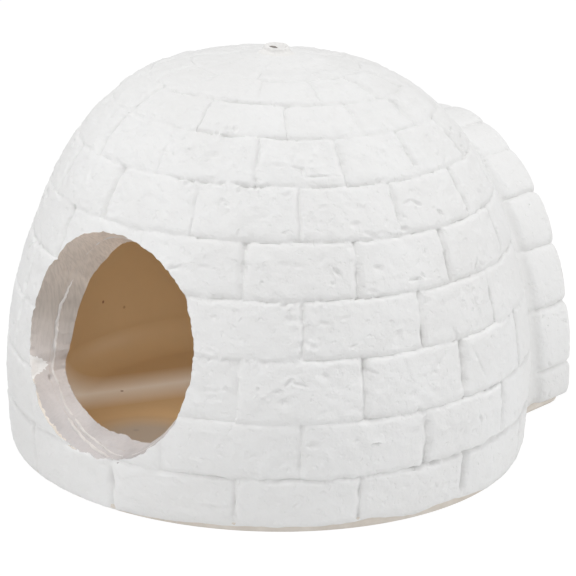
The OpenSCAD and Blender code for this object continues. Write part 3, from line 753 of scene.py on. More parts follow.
def porch_facing():
    """The white layer of the porch: two rings of arch blocks and the face round the way in."""
    # one outline across the wall, from its inner edge behind, over the outside and the front, and back, as
    # (inset, y, kind) with kind 1 for the outside, 2 for the front, 3 for the edge of the way in
    front = PORCH_REACH
    loop = [(FACING_T, 34.0, 0)]
    loop += [(0.0, y, 1) for y in np.linspace(34.0, front - PORCH_EDGE, 84)]
    loop += [(PORCH_EDGE * (1 - math.cos(a)), front - PORCH_EDGE * (1 - math.sin(a)), 1)
             for a in np.radians(np.linspace(9, 90, 10))]
    loop += [(d, front, 2) for d in np.linspace(PORCH_EDGE + 0.5, PORCH_WALL - 0.7, 14)]
    loop += [(PORCH_WALL - 0.25, front - 0.12, 3), (PORCH_WALL, front - 0.6, 3)]
    loop += [(PORCH_WALL, y, 3) for y in np.linspace(front - 1.2, front - FACING_T, 6)]
    loop += [(FACING_T, front - FACING_T, 0)]
    loop = np.array(loop)
    inset, y, kind = loop[:, :1], loop[:, 1:2], loop[:, 2:3]
    half, high = PORCH_W / 2 - inset, PORCH_H - inset
    first = math.asin((FOOT_H + BOND) / PORCH_H)
    t = np.linspace(first, math.pi - first, 520)
    tt = np.broadcast_to(t[None, :], (len(loop), len(t)))
    base = np.stack([half * np.cos(tt), np.broadcast_to(y, tt.shape), high * np.sin(tt)], -1)
    # outward direction: across the arch on the outside, along +Y on the front, turning between them
    nx, nz = np.cos(tt) / half, np.sin(tt) / high
    size = np.hypot(nx, nz)
    face = np.clip((y - (front - PORCH_EDGE)) / PORCH_EDGE, 0, 1)
    lean = np.where(kind == 2, 1.0, np.where(kind == 1, face, 0.0)) * math.pi / 2
    out = np.stack([nx / size * np.cos(lean), np.sin(lean) * np.ones_like(tt), nz / size * np.cos(lean)], -1)
    # distances in millimetres to the joints round the arch
    reach = np.hypot(half * np.sin(tt), high * np.cos(tt))
    tw = tt + layers(base, (0.25, 6.0, 80), (0.1, 2.0, 81)) / 55
    joints = np.radians([FOOT_BLOCK + (180 - 2 * FOOT_BLOCK) * i / ARCH_BLOCKS for i in range(ARCH_BLOCKS + 1)])
    k = np.searchsorted(joints, tw.ravel()).reshape(tw.shape)
    left = np.where(k > 0, tw - joints[np.clip(k - 1, 0, len(joints) - 1)], 9) * reach
    right = np.where(k < len(joints), joints[np.clip(k, 0, len(joints) - 1)] - tw, 9) * reach
    near = np.minimum(left, right)
    # the ring behind is a soft hollow in which the joints fade
    depth = base[..., 1] + 0.25 * noise(base, 7.0, 82)
    outside = np.where(kind == 1, 1.0, 0.0)
    behind = eased(np.clip((RING_Y + 0.8 - depth) / 2.6, 0, 1) * outside)
    hollow = bell(depth - (RING_Y - 2.2), 2.8) * outside
    fade = 1 - 0.65 * behind
    # high up the outside's joints are smeared nearly shut
    smeared = np.clip((np.sin(tt) - 0.78) / 0.10, 0, 1) * outside
    wide = 2.0 * (1 + 0.3 * noise(base, 5.0, 83))
    groove = (1 - roll(near, wide, 2.2)) * np.clip(1.0 + 0.4 * noise(base, 12.0, 84), 0.5, 1.5) * fade
    groove = groove * (1 - 0.60 * smeared)
    crease = bell(near, 0.40) * fade * (1 - 0.75 * smeared)
    bulge = (1 - (2 * np.clip(left / np.maximum(left + right, 1e-6), 0, 1) - 1) ** 2) * (1 - behind) * outside
    bulge = bulge * (1 - 0.35 * smeared)
    tilt = 0.14 * random_of(k, depth > RING_Y, 9)
    uneven = layers(base, (0.10, 12.0, 85), (0.06, 4.0, 86), (0.03, 1.5, 87))
    h = -0.05 - 0.66 * groove - 0.22 * np.clip(crease, 0, 1) + tilt + uneven
    h += 0.50 * bulge - 0.35 * behind - 0.75 * hollow
    # the lowest blocks round in towards the foot
    from_foot = np.minimum(tt - first, math.pi - first - tt) * reach
    h -= 1.5 * (1 - roll(from_foot, 3.6, 2.0)) * (kind > 0)
    h = np.where(kind == 3, 0.4 * uneven, np.where(kind == 0, 0.0, h))
    # scattered pits and bumps
    rng = np.random.default_rng(31)
    sides = np.diff(np.stack([PORCH_W / 2 * np.cos(t), PORCH_H * np.sin(t)]), axis=1)
    arc = np.concatenate([[0], np.cumsum(np.hypot(*sides))])
    for _ in range(PORCH_PITS):
        at_t, at_y = rng.uniform(0, arc[-1]), rng.uniform(44, front)
        a, b, turn = rng.uniform(0.4, 1.6), rng.uniform(0.3, 0.6), rng.uniform(-math.pi, math.pi)
        deep = rng.uniform(0.15, 0.5) * (-1 if rng.uniform() < 0.75 else 0.6)
        dx, dy = np.broadcast_to(arc[None, :], tt.shape) - at_t, base[..., 1] - at_y
        u = (dx * math.cos(turn) + dy * math.sin(turn)) / a
        v = (-dx * math.sin(turn) + dy * math.cos(turn)) / b
        h += deep * np.clip(1 - u * u - v * v, 0, 1) ** 1.5 * (kind == 1)
    points = base + out * h[..., None]
    # both ends stand level on the foot
    blend = bell(tt - first, 0.03) + bell(math.pi - first - tt, 0.03)
    points[..., 2] = points[..., 2] * (1 - blend) + (FOOT_H + BOND) * blend
    return rings_solid("porch_facing_cast", points.transpose(1, 0, 2))


def rounded_plate(name, half, to_y, corner, rows):
    """A plate with round front corners, from rows of (inset, height), running back to y 0."""
    rings = []
    for inset, z in rows:
        w, y, r = half - inset, to_y - inset, corner - inset
        turn = np.radians(np.linspace(0, 90, 24))
        right = np.stack([w - r + r * np.cos(turn), y - r + r * np.sin(turn)], -1)
        left = right[::-1] * (-1, 1)
        plan = np.concatenate([[(w, 0.0)], right, left, [(-w, 0.0)]])
        rings.append(np.concatenate([plan, np.full((len(plan), 1), z)], -1))
    return rings_solid(name, rings)


def porch_inner(passage, body):
    """The tan layer of the porch with its sill and its rounded bare foot."""
    ends = np.linspace(0.0, PORCH_REACH - FACING_T - BOND, 3)
    arch = rings_solid("porch_tunnel_cast", [arch_ring(FACING_T + BOND, y, floor=0.0) for y in ends[::-1]])
    foot = rounded_plate("porch_foot", PORCH_W / 2 - 0.9, PORCH_REACH - 1.3, 7.0,
                         [(1.3, 0.0), (0.55, 0.25), (0.2, 0.6), (0.0, 1.1), (0.2, 1.6), (1.0, 2.2)])
    sill = rounded_plate("porch_sill", PORCH_W / 2 - PORCH_WALL - 2 * BOND, PORCH_REACH - 0.9, 1.2,
                         [(0.3, 0.0), (0.0, 0.3), (0.0, FLOOR_T - 0.5), (0.15, FLOOR_T - 0.15), (0.5, FLOOR_T)])
    combined(arch, "UNION", (foot, sill))
    for part in (foot, sill):
        bpy.data.objects.remove(part)
    return cut(arch, passage, body)


# The dimple's middle off the nub's axis, and a small pit on the nub's rim, in millimetres
DIMPLE_OFF = (-0.05, -1.50)
DIMPLE_R = 1.2
RIM_PIT = (1.65, 1.46)
NUB_TOP = DOME_H + NUB_H + 0.30
NUB_LEAN = 0.10
# How deep the nub counts as lying, in millimetres, for the painted groove shade, which darkens the whole nub a
# little
NUB_SHADE_DEPTH = -0.45


def nub_tilt(points):
    """How far the nub's top leans down at points, towards the photograph's camera."""
    turn = math.radians(CAMERA_AZIMUTH)
    return NUB_LEAN * (points[..., 0] * math.sin(turn) - points[..., 1] * math.cos(turn))


def crown_nub():
    """The low button on the crown, with its blind dimple and an uneven rim."""
    r, top, foot = NUB_D / 2 + 0.05, NUB_TOP, DOME_H + MOUND
    profile = np.array([
        (r + 2.3, DOME_H), (r + 2.2, foot - 0.35), (r + 1.45, foot - 0.02), (r + 0.85, foot + 0.30),
        (r + 0.4, foot + 0.75), (r + 0.12, top - 0.6), (r + 0.06, top - 0.25), (r - 0.08, top - 0.06),
        (r - 0.35, top), (r - 0.65, top - 0.06), (r - 0.9, top - 0.14), (1.55, top - 0.16),
        (DIMPLE_R + 0.10, top - 0.20), (DIMPLE_R, top - 0.45), (DIMPLE_R - 0.1, top - 1.6), (0.6, top - 2.1),
        (0.15, top - 2.2)])
    fine = np.linspace(0, len(profile) - 1, 80)
    rows = np.stack([np.interp(fine, np.arange(len(profile)), side) for side in profile.T], -1)
    phi, rings = lathe(rows, 120)
    # the dimple lies off the middle, to the photograph's left
    hole = np.clip((1.75 - rows[:, :1]) / 0.45, 0, 1) * (rows[:, 1:] > top - 2.4)
    rings[..., :2] += hole[..., None] * DIMPLE_OFF
    wave = 0.10 * noise(rings, 2.2, 90) + 0.03 * noise(rings, 0.8, 91)
    rings += wave[..., None] * np.stack([np.sin(phi), -np.cos(phi), np.full_like(phi, 0.6)], -1)
    pit = np.hypot(rings[..., 0] - RIM_PIT[0], rings[..., 1] - RIM_PIT[1])
    rings[..., 2] -= 0.4 * bell(pit, 0.35) * (rings[..., 2] > top - 0.8)
    rings[..., 2] -= nub_tilt(rings) * np.clip((rings[..., 2] - foot) / 1.0, 0, 1)
    return rings_solid("crown_nub_cast", leaning(rings))


def nub_dirt_and_shade(obj):
    """Which faces of the nub lie in its dimple or its rim's pit, for their dirt and painted shade."""
    centre = face_centres(obj)
    hole = np.hypot(centre[:, 0] - DIMPLE_OFF[0], centre[:, 1] - DIMPLE_OFF[1]) < DIMPLE_R + 0.10
    pit = np.hypot(centre[:, 0] - RIM_PIT[0], centre[:, 1] - RIM_PIT[1]) < 0.27
    level = centre[:, 2] + nub_tilt(centre)
    return (hole & (level < NUB_TOP - 0.34)) | (pit & (level > NUB_TOP - 1.0))


def floor_disc():
    """The floor inside, out to where the wall's hollow curve starts."""
    edge = FLOOR_R + 0.03
    rows = [(edge - 0.4, FLOOR_LIFT), (edge, FLOOR_LIFT + 0.3), (edge, FLOOR_T)]
    rows += [(r, FLOOR_T) for r in np.linspace(edge - 1.5, 1.0, 30)]
    rings = lathe(rows, 240)[1]
    top = rings[3:]
    top[..., 2] += 0.12 * noise(top, 20.0, 95) * np.clip((edge - np.hypot(top[..., 0], top[..., 1])) / 8, 0, 1)
    return rings_solid("floor_disc", rings)


# ---------------------------------------------------------------- materials

class Tree:
    """Small help for writing a material's nodes."""

    def __init__(self, name):
        self.material = bpy.data.materials.new(name)
        self.material.use_nodes = True
        self.nodes = self.material.node_tree.nodes
        self.links = self.material.node_tree.links
        self.shader = self.nodes["Principled BSDF"]
        self.coords = self.nodes.new("ShaderNodeTexCoord").outputs["Object"]

    def put(self, socket, value):
        """Links another node's output to a socket, or sets the socket's own value or colour."""
        if isinstance(value, bpy.types.NodeSocket):
            self.links.new(value, socket)
        else:
            socket.default_value = (*value, 1.0) if isinstance(value, tuple) and socket.type == "RGBA" else value

    def add(self, kind, inputs, **settings):
        node = self.nodes.new(kind)
        for key, value in settings.items():
            setattr(node, key, value)
        for key, value in inputs.items():
            self.put(node.inputs[key], value)
        return node

    def noise(self, per_metre, detail=3.0, rough=0.5, distortion=0.0, vector=None):
        inputs = {"Scale": per_metre, "Detail": detail, "Roughness": rough, "Distortion": distortion,
                  "Vector": vector or self.coords}
        return self.add("ShaderNodeTexNoise", inputs).outputs["Fac"]

    def ramp(self, source, stops):
        """Maps a value through stops of (place, grey or colour)."""
        node = self.add("ShaderNodeValToRGB", {"Fac": source})
        band = node.color_ramp
        while len(band.elements) < len(stops):
            band.elements.new(0.5)
        for element, (place, colour) in zip(band.elements, stops):
            element.position = place
            element.color = (*(colour if isinstance(colour, tuple) else (colour,) * 3), 1.0)
        return node.outputs["Color"]

    def between(self, source, low, high):
        """Blends two greys or colours over the middle range of a noise."""
        return self.ramp(source, [(0.30, low), (0.70, high)])

    def mix(self, share, a, b, kind="MIX"):
        return self.add("ShaderNodeMix", {0: share, 6: a, 7: b}, data_type="RGBA", blend_type=kind).outputs[2]

    def maths(self, operation, a, b=0.5):
        return self.add("ShaderNodeMath", {0: a, 1: b}, operation=operation).outputs[0]

    def times(self, a, b):
        return self.maths("MULTIPLY", a, b)

    def split(self, vector, kind="ShaderNodeSeparateXYZ"):
        return self.add(kind, {0: vector}).outputs[:3]

    def distance(self, x, y, z, place):
        """How far each point lies from one place, in metres."""
        squares = [self.maths("POWER", self.maths("ABSOLUTE", self.maths("SUBTRACT", v, at)), 2.0)
                   for v, at in zip((x, y, z), place)]
        return self.maths("SQRT", self.maths("ADD", self.maths("ADD", squares[0], squares[1]), squares[2]))

    def bump(self, height, distance, strength=1.0, below=None):
        inputs = {"Height": height, "Distance": distance, "Strength": strength}
        if below is not None:
            inputs["Normal"] = below
        return self.add("ShaderNodeBump", inputs).outputs["Normal"]

    def done(self, colour, roughness, normal, shine):
        for key, value in (("Base Color", colour), ("Roughness", roughness), ("Normal", normal),
                           ("Specular IOR Level", shine)):
            self.put(self.shader.inputs[key], value)
        return self.material


def white_plaster(name="white_cast", warm=0.0):
    """Chalky white of the cast: fine grain, pin holes, faint clouds, and painted shade in the grooves."""
    t = Tree(name)
    colour = t.between(t.noise(28, 3.0, 0.55), (0.845 + warm, 0.842, 0.836 - warm),
                       (0.885 + warm, 0.886, 0.884 - warm))
    stains = t.ramp(t.noise(95, 4.0, 0.6, 0.3), [(0.40, 0.0), (0.75, 1.0)])
    colour = t.mix(t.times(stains, 0.10), colour, (0.78, 0.765, 0.74))
    # painted shade: grooves and recesses are darkened by how deep they lie under the smooth form
    depth = t.add("ShaderNodeAttribute", {}, attribute_name="relief").outputs["Fac"]
    groove = t.ramp(depth, [(0.0, 1.0), (0.62, 0.0)])
    colour = t.mix(t.times(groove, 0.30), colour, (0.70, 0.695, 0.68))
    grain = t.noise(1700, 3.0, 0.65)
    pores = t.ramp(t.noise(620, 2.0, 0.5), [(0.28, 0.0), (0.42, 1.0)])
    colour = t.mix(0.06, colour, t.between(grain, 0.80, 1.0), "MULTIPLY")
    normal = t.bump(grain, 0.00010, 0.9)
    normal = t.bump(pores, 0.00014, 0.7, normal)
    normal = t.bump(t.noise(700, 2.0, 0.5), 0.00015, 0.8, normal)
    normal = t.bump(t.noise(260, 3.0, 0.5), 0.00046, 0.8, normal)
    return t.done(colour, t.between(grain, 0.78, 0.94), normal, 0.25)


def cut_plaster():
    """The sawn face round the door: mauve grey, with painted shade that makes it darker and browner half way up
    and painted light that makes it paler at the top, and with strokes.
    """
    t = Tree("cut_face")
    level = t.maths("DIVIDE", t.split(t.coords)[2], 0.08)
    # painted shade and light by height: darker and browner half way up, paler at the top
    colour = t.ramp(level, [(0.20, (0.56, 0.535, 0.535)), (0.36, (0.58, 0.54, 0.52)),
                            (0.50, (0.475, 0.425, 0.384)), (0.68, (0.62, 0.54, 0.475)),
                            (0.76, (0.78, 0.68, 0.60))])
    clouds = t.ramp(t.noise(70, 3.0, 0.6), [(0.30, 0.86), (0.52, 1.0), (0.75, 1.1)])
    colour = t.mix(1.0, colour, clouds, "MULTIPLY")
    squeeze = t.add("ShaderNodeMapping", {"Vector": t.coords, "Scale": (1.0, 0.35, 0.09)}).outputs[0]
    strokes = t.noise(2900, 2.0, 0.5, vector=squeeze)
    high_up = t.ramp(level, [(0.36, 0.10), (0.52, 0.34)])
    colour = t.mix(high_up, colour, t.ramp(strokes, [(0.36, 0.66), (0.58, 1.05)]), "MULTIPLY")
    grain = t.noise(1500, 3.0, 0.6)
    normal = t.bump(grain, 0.00008, 0.8, t.bump(strokes, 0.00012, 0.8))
    return t.done(colour, t.between(grain, 0.70, 0.92), normal, 0.25)


def dull(name, clouds, stops, roughness, rise, shine, grain=(1500, 3.0, 0.6)):
    """A dull clouded plaster: its clouds and their colours, and the roughness and height of its grain."""
    t = Tree(name)
    grain = t.noise(*grain)
    return t.done(t.ramp(t.noise(*clouds), stops), t.between(grain, *roughness), t.bump(grain, rise, 0.8), shine)


def seam_plaster():
    """The seam's smeared white, with fine grain."""
    return dull("seam_white", (120, 3.0, 0.5), [(0.35, (0.61, 0.580, 0.562)), (0.60, (0.72, 0.695, 0.680))],
                (0.6, 0.85), 0.00008, 0.3)


# The pale band of painted light on the floor: its direction across, a place on its middle line, its half width,
# reach and rise in metres
BAND_ACROSS = (0.912, -0.410)
BAND_AT = (-0.0422, -0.0267 - MID_Y * MM)
BAND_HALF, BAND_REACH, BAND_RISE = 0.012, 0.05, 0.03
# What is added across it, and where its middle lies along it
BAND_OFF = -BAND_ACROSS[0] * BAND_AT[0] - BAND_ACROSS[1] * BAND_AT[1]
BAND_MIDDLE = 0.012 - BAND_ACROSS[1] * BAND_AT[0] + BAND_ACROSS[0] * BAND_AT[1]
PAINTED_LIGHT_BAND_COLOUR = (0.92, 0.90, 0.86)
# A pale patch on the floor behind the door, partly dust and partly painted light: middle and reach in metres,
# and colour
PATCH_AT = (-0.007, -0.0360 - MID_Y * MM, 0.004)
PATCH_REACH = 0.03
DUST_AND_LIGHT_COLOUR = (0.385, 0.355, 0.322)
# Small dark specks as places in metres, and how dark they are
SPECKS = [(-0.0554, -0.0041 - MID_Y * MM, 0.0209, 0.8), (-0.0555, 0.0037 - MID_Y * MM, 0.0176, 0.45),
          (-0.0363, -0.0157 - MID_Y * MM, 0.0040, 0.9)]


def tan_inside():
    """The satin tan inside, softly clouded, with a few dark specks, a pale band of painted light, and a pale
    patch of dust and painted light with a ring of painted shade.
    """
    t = Tree("tan_satin")
    colour = t.between(t.noise(22, 2.0, 0.5, 0.4), (0.56, 0.398, 0.222), (0.605, 0.440, 0.255))
    colour = t.mix(0.12, colour, t.ramp(t.noise(160, 4.0, 0.6), [(0.35, 0.82), (0.65, 1.0)]), "MULTIPLY")
    # specks in a few of many small cells
    cells = t.add("ShaderNodeTexVoronoi", {"Scale": 75.0, "Randomness": 1.0, "Vector": t.coords})
    dot = t.ramp(cells.outputs["Distance"], [(0.045, 1.0), (0.065, 0.0)])
    chosen = t.ramp(t.split(cells.outputs["Color"], "ShaderNodeSeparateColor")[0], [(0.86, 0.0), (0.88, 1.0)])
    colour = t.mix(t.times(t.times(dot, chosen), 0.85), colour, (0.10, 0.035, 0.02))
    # painted light: a pale band along the left of the floor, where light falls in from behind
    x, y, z = t.split(t.coords)
    across = t.maths("ADD", t.times(x, BAND_ACROSS[0]), t.times(y, BAND_ACROSS[1]))
    along = t.maths("ADD", t.times(x, -BAND_ACROSS[1]), t.times(y, BAND_ACROSS[0]))
    off = t.maths("DIVIDE", t.maths("ABSOLUTE", t.maths("ADD", across, BAND_OFF)), BAND_HALF)
    end = t.maths("DIVIDE", t.maths("ABSOLUTE", t.maths("SUBTRACT", along, BAND_MIDDLE)), BAND_REACH)
    band = t.times(t.ramp(off, [(0.0, 1.0), (0.40, 0.55), (0.9, 0.0)]),
                   t.ramp(t.maths("DIVIDE", z, BAND_RISE), [(0.35, 1.0), (0.85, 0.0)]))
    colour = t.mix(t.times(band, t.ramp(end, [(0.50, 1.0), (0.72, 0.0)])), colour, PAINTED_LIGHT_BAND_COLOUR)
    # the pale patch, partly dust and partly painted light, with a darker ring of painted shade
    away = t.maths("DIVIDE", t.distance(x, y, z, PATCH_AT), PATCH_REACH)
    dust_and_light = t.ramp(away, [(1 / 3, 1.0), (0.6, 0.0)])
    colour = t.mix(t.times(dust_and_light, 0.85), colour, DUST_AND_LIGHT_COLOUR)
    shade_ring = t.ramp(away, [(0.50, 0.0), (0.56, 1.0), (0.64, 0.0)])
    colour = t.mix(t.times(shade_ring, 0.22), colour, (0.40, 0.28, 0.18))
    for *place, dark in SPECKS:
        near = t.ramp(t.maths("DIVIDE", t.distance(x, y, z, place), 0.01), [(0.025, 1.0), (0.055, 0.0)])
        colour = t.mix(t.times(near, dark), colour, (0.16, 0.06, 0.035))
    normal = t.bump(t.noise(45, 2.0, 0.5), 0.0006, 0.25)
    normal = t.bump(t.noise(900, 2.0, 0.5), 0.00003, 0.5, normal)
    return t.done(colour, t.between(t.noise(60, 3.0, 0.5), 0.40, 0.48), normal, 0.22)


def dimple_dirt_and_shade():
    """Dark grey in the crown's dimple and its rim's pit: dirt and painted shade."""
    return dull("dimple_dirt_and_shade", (900, 3.0, 0.6), [(0.30, (0.33, 0.30, 0.28)), (0.70, (0.48, 0.44, 0.41))],
                (0.8, 0.95), 0.0002, 0.1, (900, 3.0, 0.6))


def bare_foot():
    """The bare cast along the ground, rubbed and slightly dirty."""
    return dull("bare_foot", (150, 4.0, 0.6), [(0.30, (0.70, 0.64, 0.57)), (0.70, (0.80, 0.75, 0.69))],
                (0.7, 0.9), 0.0001, 0.25)


# ---------------------------------------------------------------- dressing

def add_relief_attribute(obj, off):
    """Stores how far each point stands off a smooth form, from -1 to 0.5 mm as 0 to 1, for the painted shade in
    the grooves.
    """
    layer = obj.data.attributes.new("relief", "FLOAT", "POINT")
    layer.data.foreach_set("value", np.clip((off + 1.0) / 1.5, 0, 1).astype(np.float32))


def dome_standoff(points):
    """Signed distance off the dome's smooth outer face, good near the face."""
    r, z = np.hypot(points[:, 0], points[:, 1]), points[:, 2]
    rr, zz, nr, nz = WALL.at(np.linspace(0, WALL.top, 1400))
    best, where = np.full(len(points), 9.0), np.zeros(len(points), int)
    for i in range(len(rr)):
        d = (r - rr[i]) ** 2 + (z - zz[i]) ** 2
        closer = d < best
        best[closer] = d[closer]
        where[closer] = i
    return (r - rr[where]) * nr[where] + (z - zz[where]) * nz[where]


def porch_standoff(points):
    """How far points stand off the porch's smooth arch or front face."""
    x, z = points[:, 0], np.maximum(points[:, 2], 0)
    level = np.hypot(x / (PORCH_W / 2), z / PORCH_H)
    slope = np.hypot(x / (PORCH_W / 2) ** 2, z / PORCH_H ** 2) / np.maximum(level, 1e-6)
    side = (level - 1) / slope
    front = points[:, 1] - PORCH_REACH
    return np.maximum(side, front)


def cut_faces(obj):
    """Which faces belong to the door's cut, that is look at the door's axis, with their angle and depth."""
    centre = face_centres(obj)
    normal = rows_of_three(obj.data.polygons, "normal")
    away = centre - DOOR_MID
    along = away @ DOOR_AXIS
    side = away - along[:, None] * DOOR_AXIS
    size = np.linalg.norm(side, axis=1)
    facing = np.einsum("ij,ij->i", normal, side / np.maximum(size, 1e-6)[:, None])
    turn = np.arctan2(side @ DOOR_UP, side @ DOOR_SIDE)
    depth = wall_depth(centre)
    near = np.abs(size - (DOOR_D / 2 + along * DOOR_FLARE) - strayed(turn, depth)) < 1.8
    return near & (facing < -0.45) & (along > -22) & (along < 9), np.degrees(turn) % 360, depth


# Where the outer rim is chipped down to clean white, and where it is rubbed bare: degrees round the door
# and millimetres deep
CHIP_AT, CHIP_HALF, CHIP_DEEP = 152.5, 6.5, 4.3
RUBBED = (98.0, 147.0, 0.38)


def set_material_faces(obj, materials, index, angle):
    """Gives each face its material, and smooth shading with the edges above an angle kept sharp."""
    mesh = obj.data
    mesh.materials.clear()
    for material in materials:
        mesh.materials.append(material)
    mesh.polygons.foreach_set("material_index", np.broadcast_to(index, len(mesh.polygons)).astype(np.int32))
    mesh.polygons.foreach_set("use_smooth", np.ones(len(mesh.polygons), bool))
    mesh.set_sharp_from_angle(angle=math.radians(angle))
    mesh.update()


# Which faces count as the bare foot: below this height over its top, and this far from the dome's axis
SHELL_FOOT = (2.0, 60.5)
PORCH_FOOT_RISE = 0.9


def build():
    white, cut_face, seam, tan, foot = white_plaster(), cut_plaster(), seam_plaster(), tan_inside(), bare_foot()

    door = door_cutter()
    porch_hole = arch_cutter("porch_cutter", 0.45, -6.0, PORCH_REACH + 6)
    passage = arch_cutter("passage_cutter", PORCH_WALL, 0.0, PORCH_REACH + 6, floor=FLOOR_T)
    body = dome_cutter(FACING_T)

    facing = thinned(cut(dome_facing(), door, porch_hole), FACING_TRIANGLES)
    add_relief_attribute(facing, dome_standoff(local_points(facing)))
    on_cut, turn, deep = cut_faces(facing)
    chipped = on_cut & (np.abs(turn - CHIP_AT) < CHIP_HALF * (1 - deep / 6)) & (deep < CHIP_DEEP)
    rubbed = on_cut & (turn > RUBBED[0]) & (turn < RUBBED[1]) & (deep < RUBBED[2])
    set_material_faces(facing, [white, cut_face, foot], np.where(chipped, 0, np.where(rubbed, 2, on_cut)), 50)
    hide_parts("dome_facing")

    shell = cut(inner_shell(), door, passage)
    middle = face_centres(shell)
    on_foot = (middle[:, 2] < FOOT_H + SHELL_FOOT[0]) & (np.hypot(middle[:, 0], middle[:, 1]) > SHELL_FOOT[1])
    kinds = np.where(cut_faces(shell)[0], 1, np.where(on_foot, 2, 0))
    set_material_faces(shell, [tan, cut_face, foot], kinds, 40)
    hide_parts("inner_shell")

    ridges = [seam_ridge("door_seam", SEAM_PATH, 0.32, 0.28, 70),
              seam_ridge("door_seam_low", SECOND_PATH, 0.28, 0.32, 170),
              seam_ridge("door_seam_far", REST_PATH, 0.15, 0.22, 270)]
    for ridge in ridges:
        set_material_faces(ridge, [seam], 0, 60)

    porch = thinned(cut(porch_facing(), body), PORCH_TRIANGLES)
    add_relief_attribute(porch, porch_standoff(local_points(porch)))
    set_material_faces(porch, [white], 0, 50)
    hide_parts("porch_facing")

    nub = crown_nub()
    # painted shade: the whole nub is darkened as if it lay in a groove
    add_relief_attribute(nub, np.full(len(nub.data.vertices), NUB_SHADE_DEPTH))
    set_material_faces(nub, [white_plaster("white_nub", 0.012), dimple_dirt_and_shade()], nub_dirt_and_shade(nub), 60)
    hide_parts("crown_nub")

    disc = floor_disc()
    set_material_faces(disc, [tan], 0, 50)
    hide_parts("floor_plate")

    tunnel = porch_inner(passage, body)
    middle = face_centres(tunnel)
    on_foot = (middle[:, 2] < FOOT_H + PORCH_FOOT_RISE) & (np.abs(middle[:, 0]) > PORCH_W / 2 - PORCH_WALL)
    set_material_faces(tunnel, [tan, foot], on_foot, 40)
    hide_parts("porch_tunnel")

    for piece in (facing, shell, *ridges, porch, nub, disc, tunnel):
        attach(piece, "root")
    for cutter in (door, porch_hole, passage, body):
        bpy.data.objects.remove(cutter)


# ---------------------------------------------------------------- studio

# The fitted camera: millimetres and degrees, then its focal length and the picture in pixels, and the
# sensor in millimetres
CAMERA_AZIMUTH = 41.5
CAMERA_OUT = 499.5
CAMERA_UP = 200.5
CAMERA_DOWN = 18.117
CAMERA_YAW = 0.4745
CAMERA_ROLL = 1.4272
FOCAL_PX = 2122.95
IMAGE_PX = 576
SENSOR = 36.0


def camera():
    """The photograph's camera, fitted to the outline and the block joints."""
    down, yaw, tilt = (math.radians(v) for v in (CAMERA_DOWN, CAMERA_YAW, CAMERA_ROLL))
    ahead, right = Vector((0, math.cos(down), -math.sin(down))), Vector((1, 0, 0))
    up = right.cross(ahead)
    ahead, right = ahead * math.cos(yaw) + right * math.sin(yaw), right * math.cos(yaw) - ahead * math.sin(yaw)
    right, up = right * math.cos(tilt) + up * math.sin(tilt), up * math.cos(tilt) - right * math.sin(tilt)
    axes = Matrix((right, up, -ahead)).transposed().to_4x4()
    place = Matrix.Translation(Vector((0, -CAMERA_OUT, CAMERA_UP)) * MM)
    spin = Matrix.Rotation(math.radians(CAMERA_AZIMUTH), 4, "Z")
    data = bpy.data.cameras.new("camera")
    data.sensor_width = SENSOR
    data.lens = FOCAL_PX * SENSOR / IMAGE_PX
    data.clip_start, data.clip_end = 0.01, 20
    obj = in_scene(bpy.data.objects.new("camera", data))
    obj.matrix_world = Matrix.Translation((0, -MID_Y * MM, 0)) @ spin @ place @ axes
    bpy.context.scene.camera = obj


def area_light(name, place, aim, size, power, colour=(1, 1, 1)):
    data = bpy.data.lights.new(name, "AREA")
    data.shape, data.size, data.energy, data.color = "DISK", size, power, colour
    obj = in_scene(bpy.data.objects.new(name, data))
    obj.location = Vector(place)
    obj.rotation_euler = (Vector(aim) - Vector(place)).to_track_quat("-Z", "Y").to_euler()


def seen_ray(nodes, links):
    """1 for rays from the camera and in reflections, which see the plain white background."""
    path = nodes.new("ShaderNodeLightPath")
    total = path.outputs["Is Camera Ray"]
    for kind in ("Is Glossy Ray", "Is Transmission Ray"):
        step = nodes.new("ShaderNodeMath")
        step.operation = "MAXIMUM"
        links.new(total, step.inputs[0])
        links.new(path.outputs[kind], step.inputs[1])
        total = step.outputs[0]
    return total


# The floor's half width in metres, and the plain white that eyes and reflections see on it
FLOOR_SIZE = 4.0
FLOOR_GLOW = 1.07
FLOOR_GLOW_SHARE = 0.9
WORLD_STRENGTH = 0.45
# Lamps as azimuth and rise in degrees, distance and size in metres, and power in watts
LAMPS = {
    "key": (16, 46, 1.3, 0.6, 3.05),
    "left": (-42, 18, 1.2, 0.5, 1.25),
    "right": (134, 14, 1.2, 0.5, 3.6),
    "top": (30, 80, 1.2, 0.6, 4.3),
}
# A small lamp inside, under the roof in front, that shines back and down over the floor
INSIDE_PLACE = (0.012, -0.034, 0.060)
INSIDE_AIM = (-0.038, -0.018, 0.004)
INSIDE_SIZE = 0.022
INSIDE_POWER = 0.0158
INSIDE_COLOUR = (1.0, 0.96, 0.92)


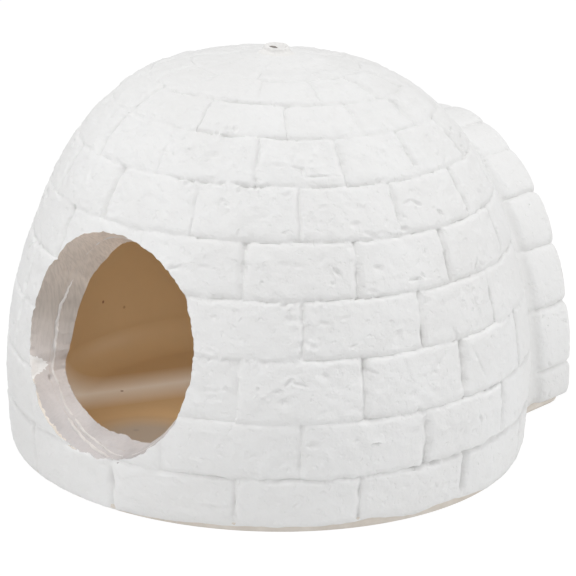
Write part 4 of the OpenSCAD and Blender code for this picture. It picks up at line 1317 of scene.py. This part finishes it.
def studio():
    """A pale floor, a white surround and soft lamps."""
    size = FLOOR_SIZE
    mesh = bpy.data.meshes.new("floor")
    corners = [(-size, -size, 0), (size, -size, 0), (size, size, 0), (-size, size, 0)]
    mesh.from_pydata(corners, [], [(0, 1, 2, 3)])
    floor = in_scene(bpy.data.objects.new("floor", mesh))
    t = Tree("floor_white")
    cloud = t.noise(3, 2.0, 0.5)
    mesh.materials.append(t.done(t.between(cloud, 0.86, 0.88), t.between(cloud, 0.9, 0.95),
                                 t.bump(t.noise(200, 2.0, 0.5), 0.0002, 0.1), 0.1))
    glow = t.add("ShaderNodeEmission", {"Color": (1, 1, 1), "Strength": FLOOR_GLOW})
    share = t.times(seen_ray(t.nodes, t.links), FLOOR_GLOW_SHARE)
    both = t.add("ShaderNodeMixShader", {0: share, 1: t.shader.outputs[0], 2: glow.outputs[0]})
    t.links.new(both.outputs[0], t.nodes["Material Output"].inputs["Surface"])

    world = bpy.data.worlds.new("surround")
    world.use_nodes = True
    bpy.context.scene.world = world
    nodes, links = world.node_tree.nodes, world.node_tree.links
    light, plain = nodes["Background"], nodes.new("ShaderNodeBackground")
    for background, strength in ((light, WORLD_STRENGTH), (plain, 1.0)):
        background.inputs["Color"].default_value = (1.0, 1.0, 1.0, 1.0)
        background.inputs["Strength"].default_value = strength
    pick = nodes.new("ShaderNodeMixShader")
    for socket, source in zip(pick.inputs, (seen_ray(nodes, links), light.outputs[0], plain.outputs[0])):
        links.new(source, socket)
    links.new(pick.outputs[0], nodes["World Output"].inputs["Surface"])

    for name, (azimuth, rise, out, size, power) in LAMPS.items():
        azimuth, rise = math.radians(azimuth), math.radians(rise)
        level = out * math.cos(rise)
        place = (level * math.sin(azimuth), -level * math.cos(azimuth), out * math.sin(rise))
        area_light(name, place, (0, 0, 0.04), size, power)
    area_light("inside", INSIDE_PLACE, INSIDE_AIM, INSIDE_SIZE, INSIDE_POWER, INSIDE_COLOUR)


build()
camera()
studio()

scene = bpy.context.scene
scene.view_settings.view_transform = "Standard"
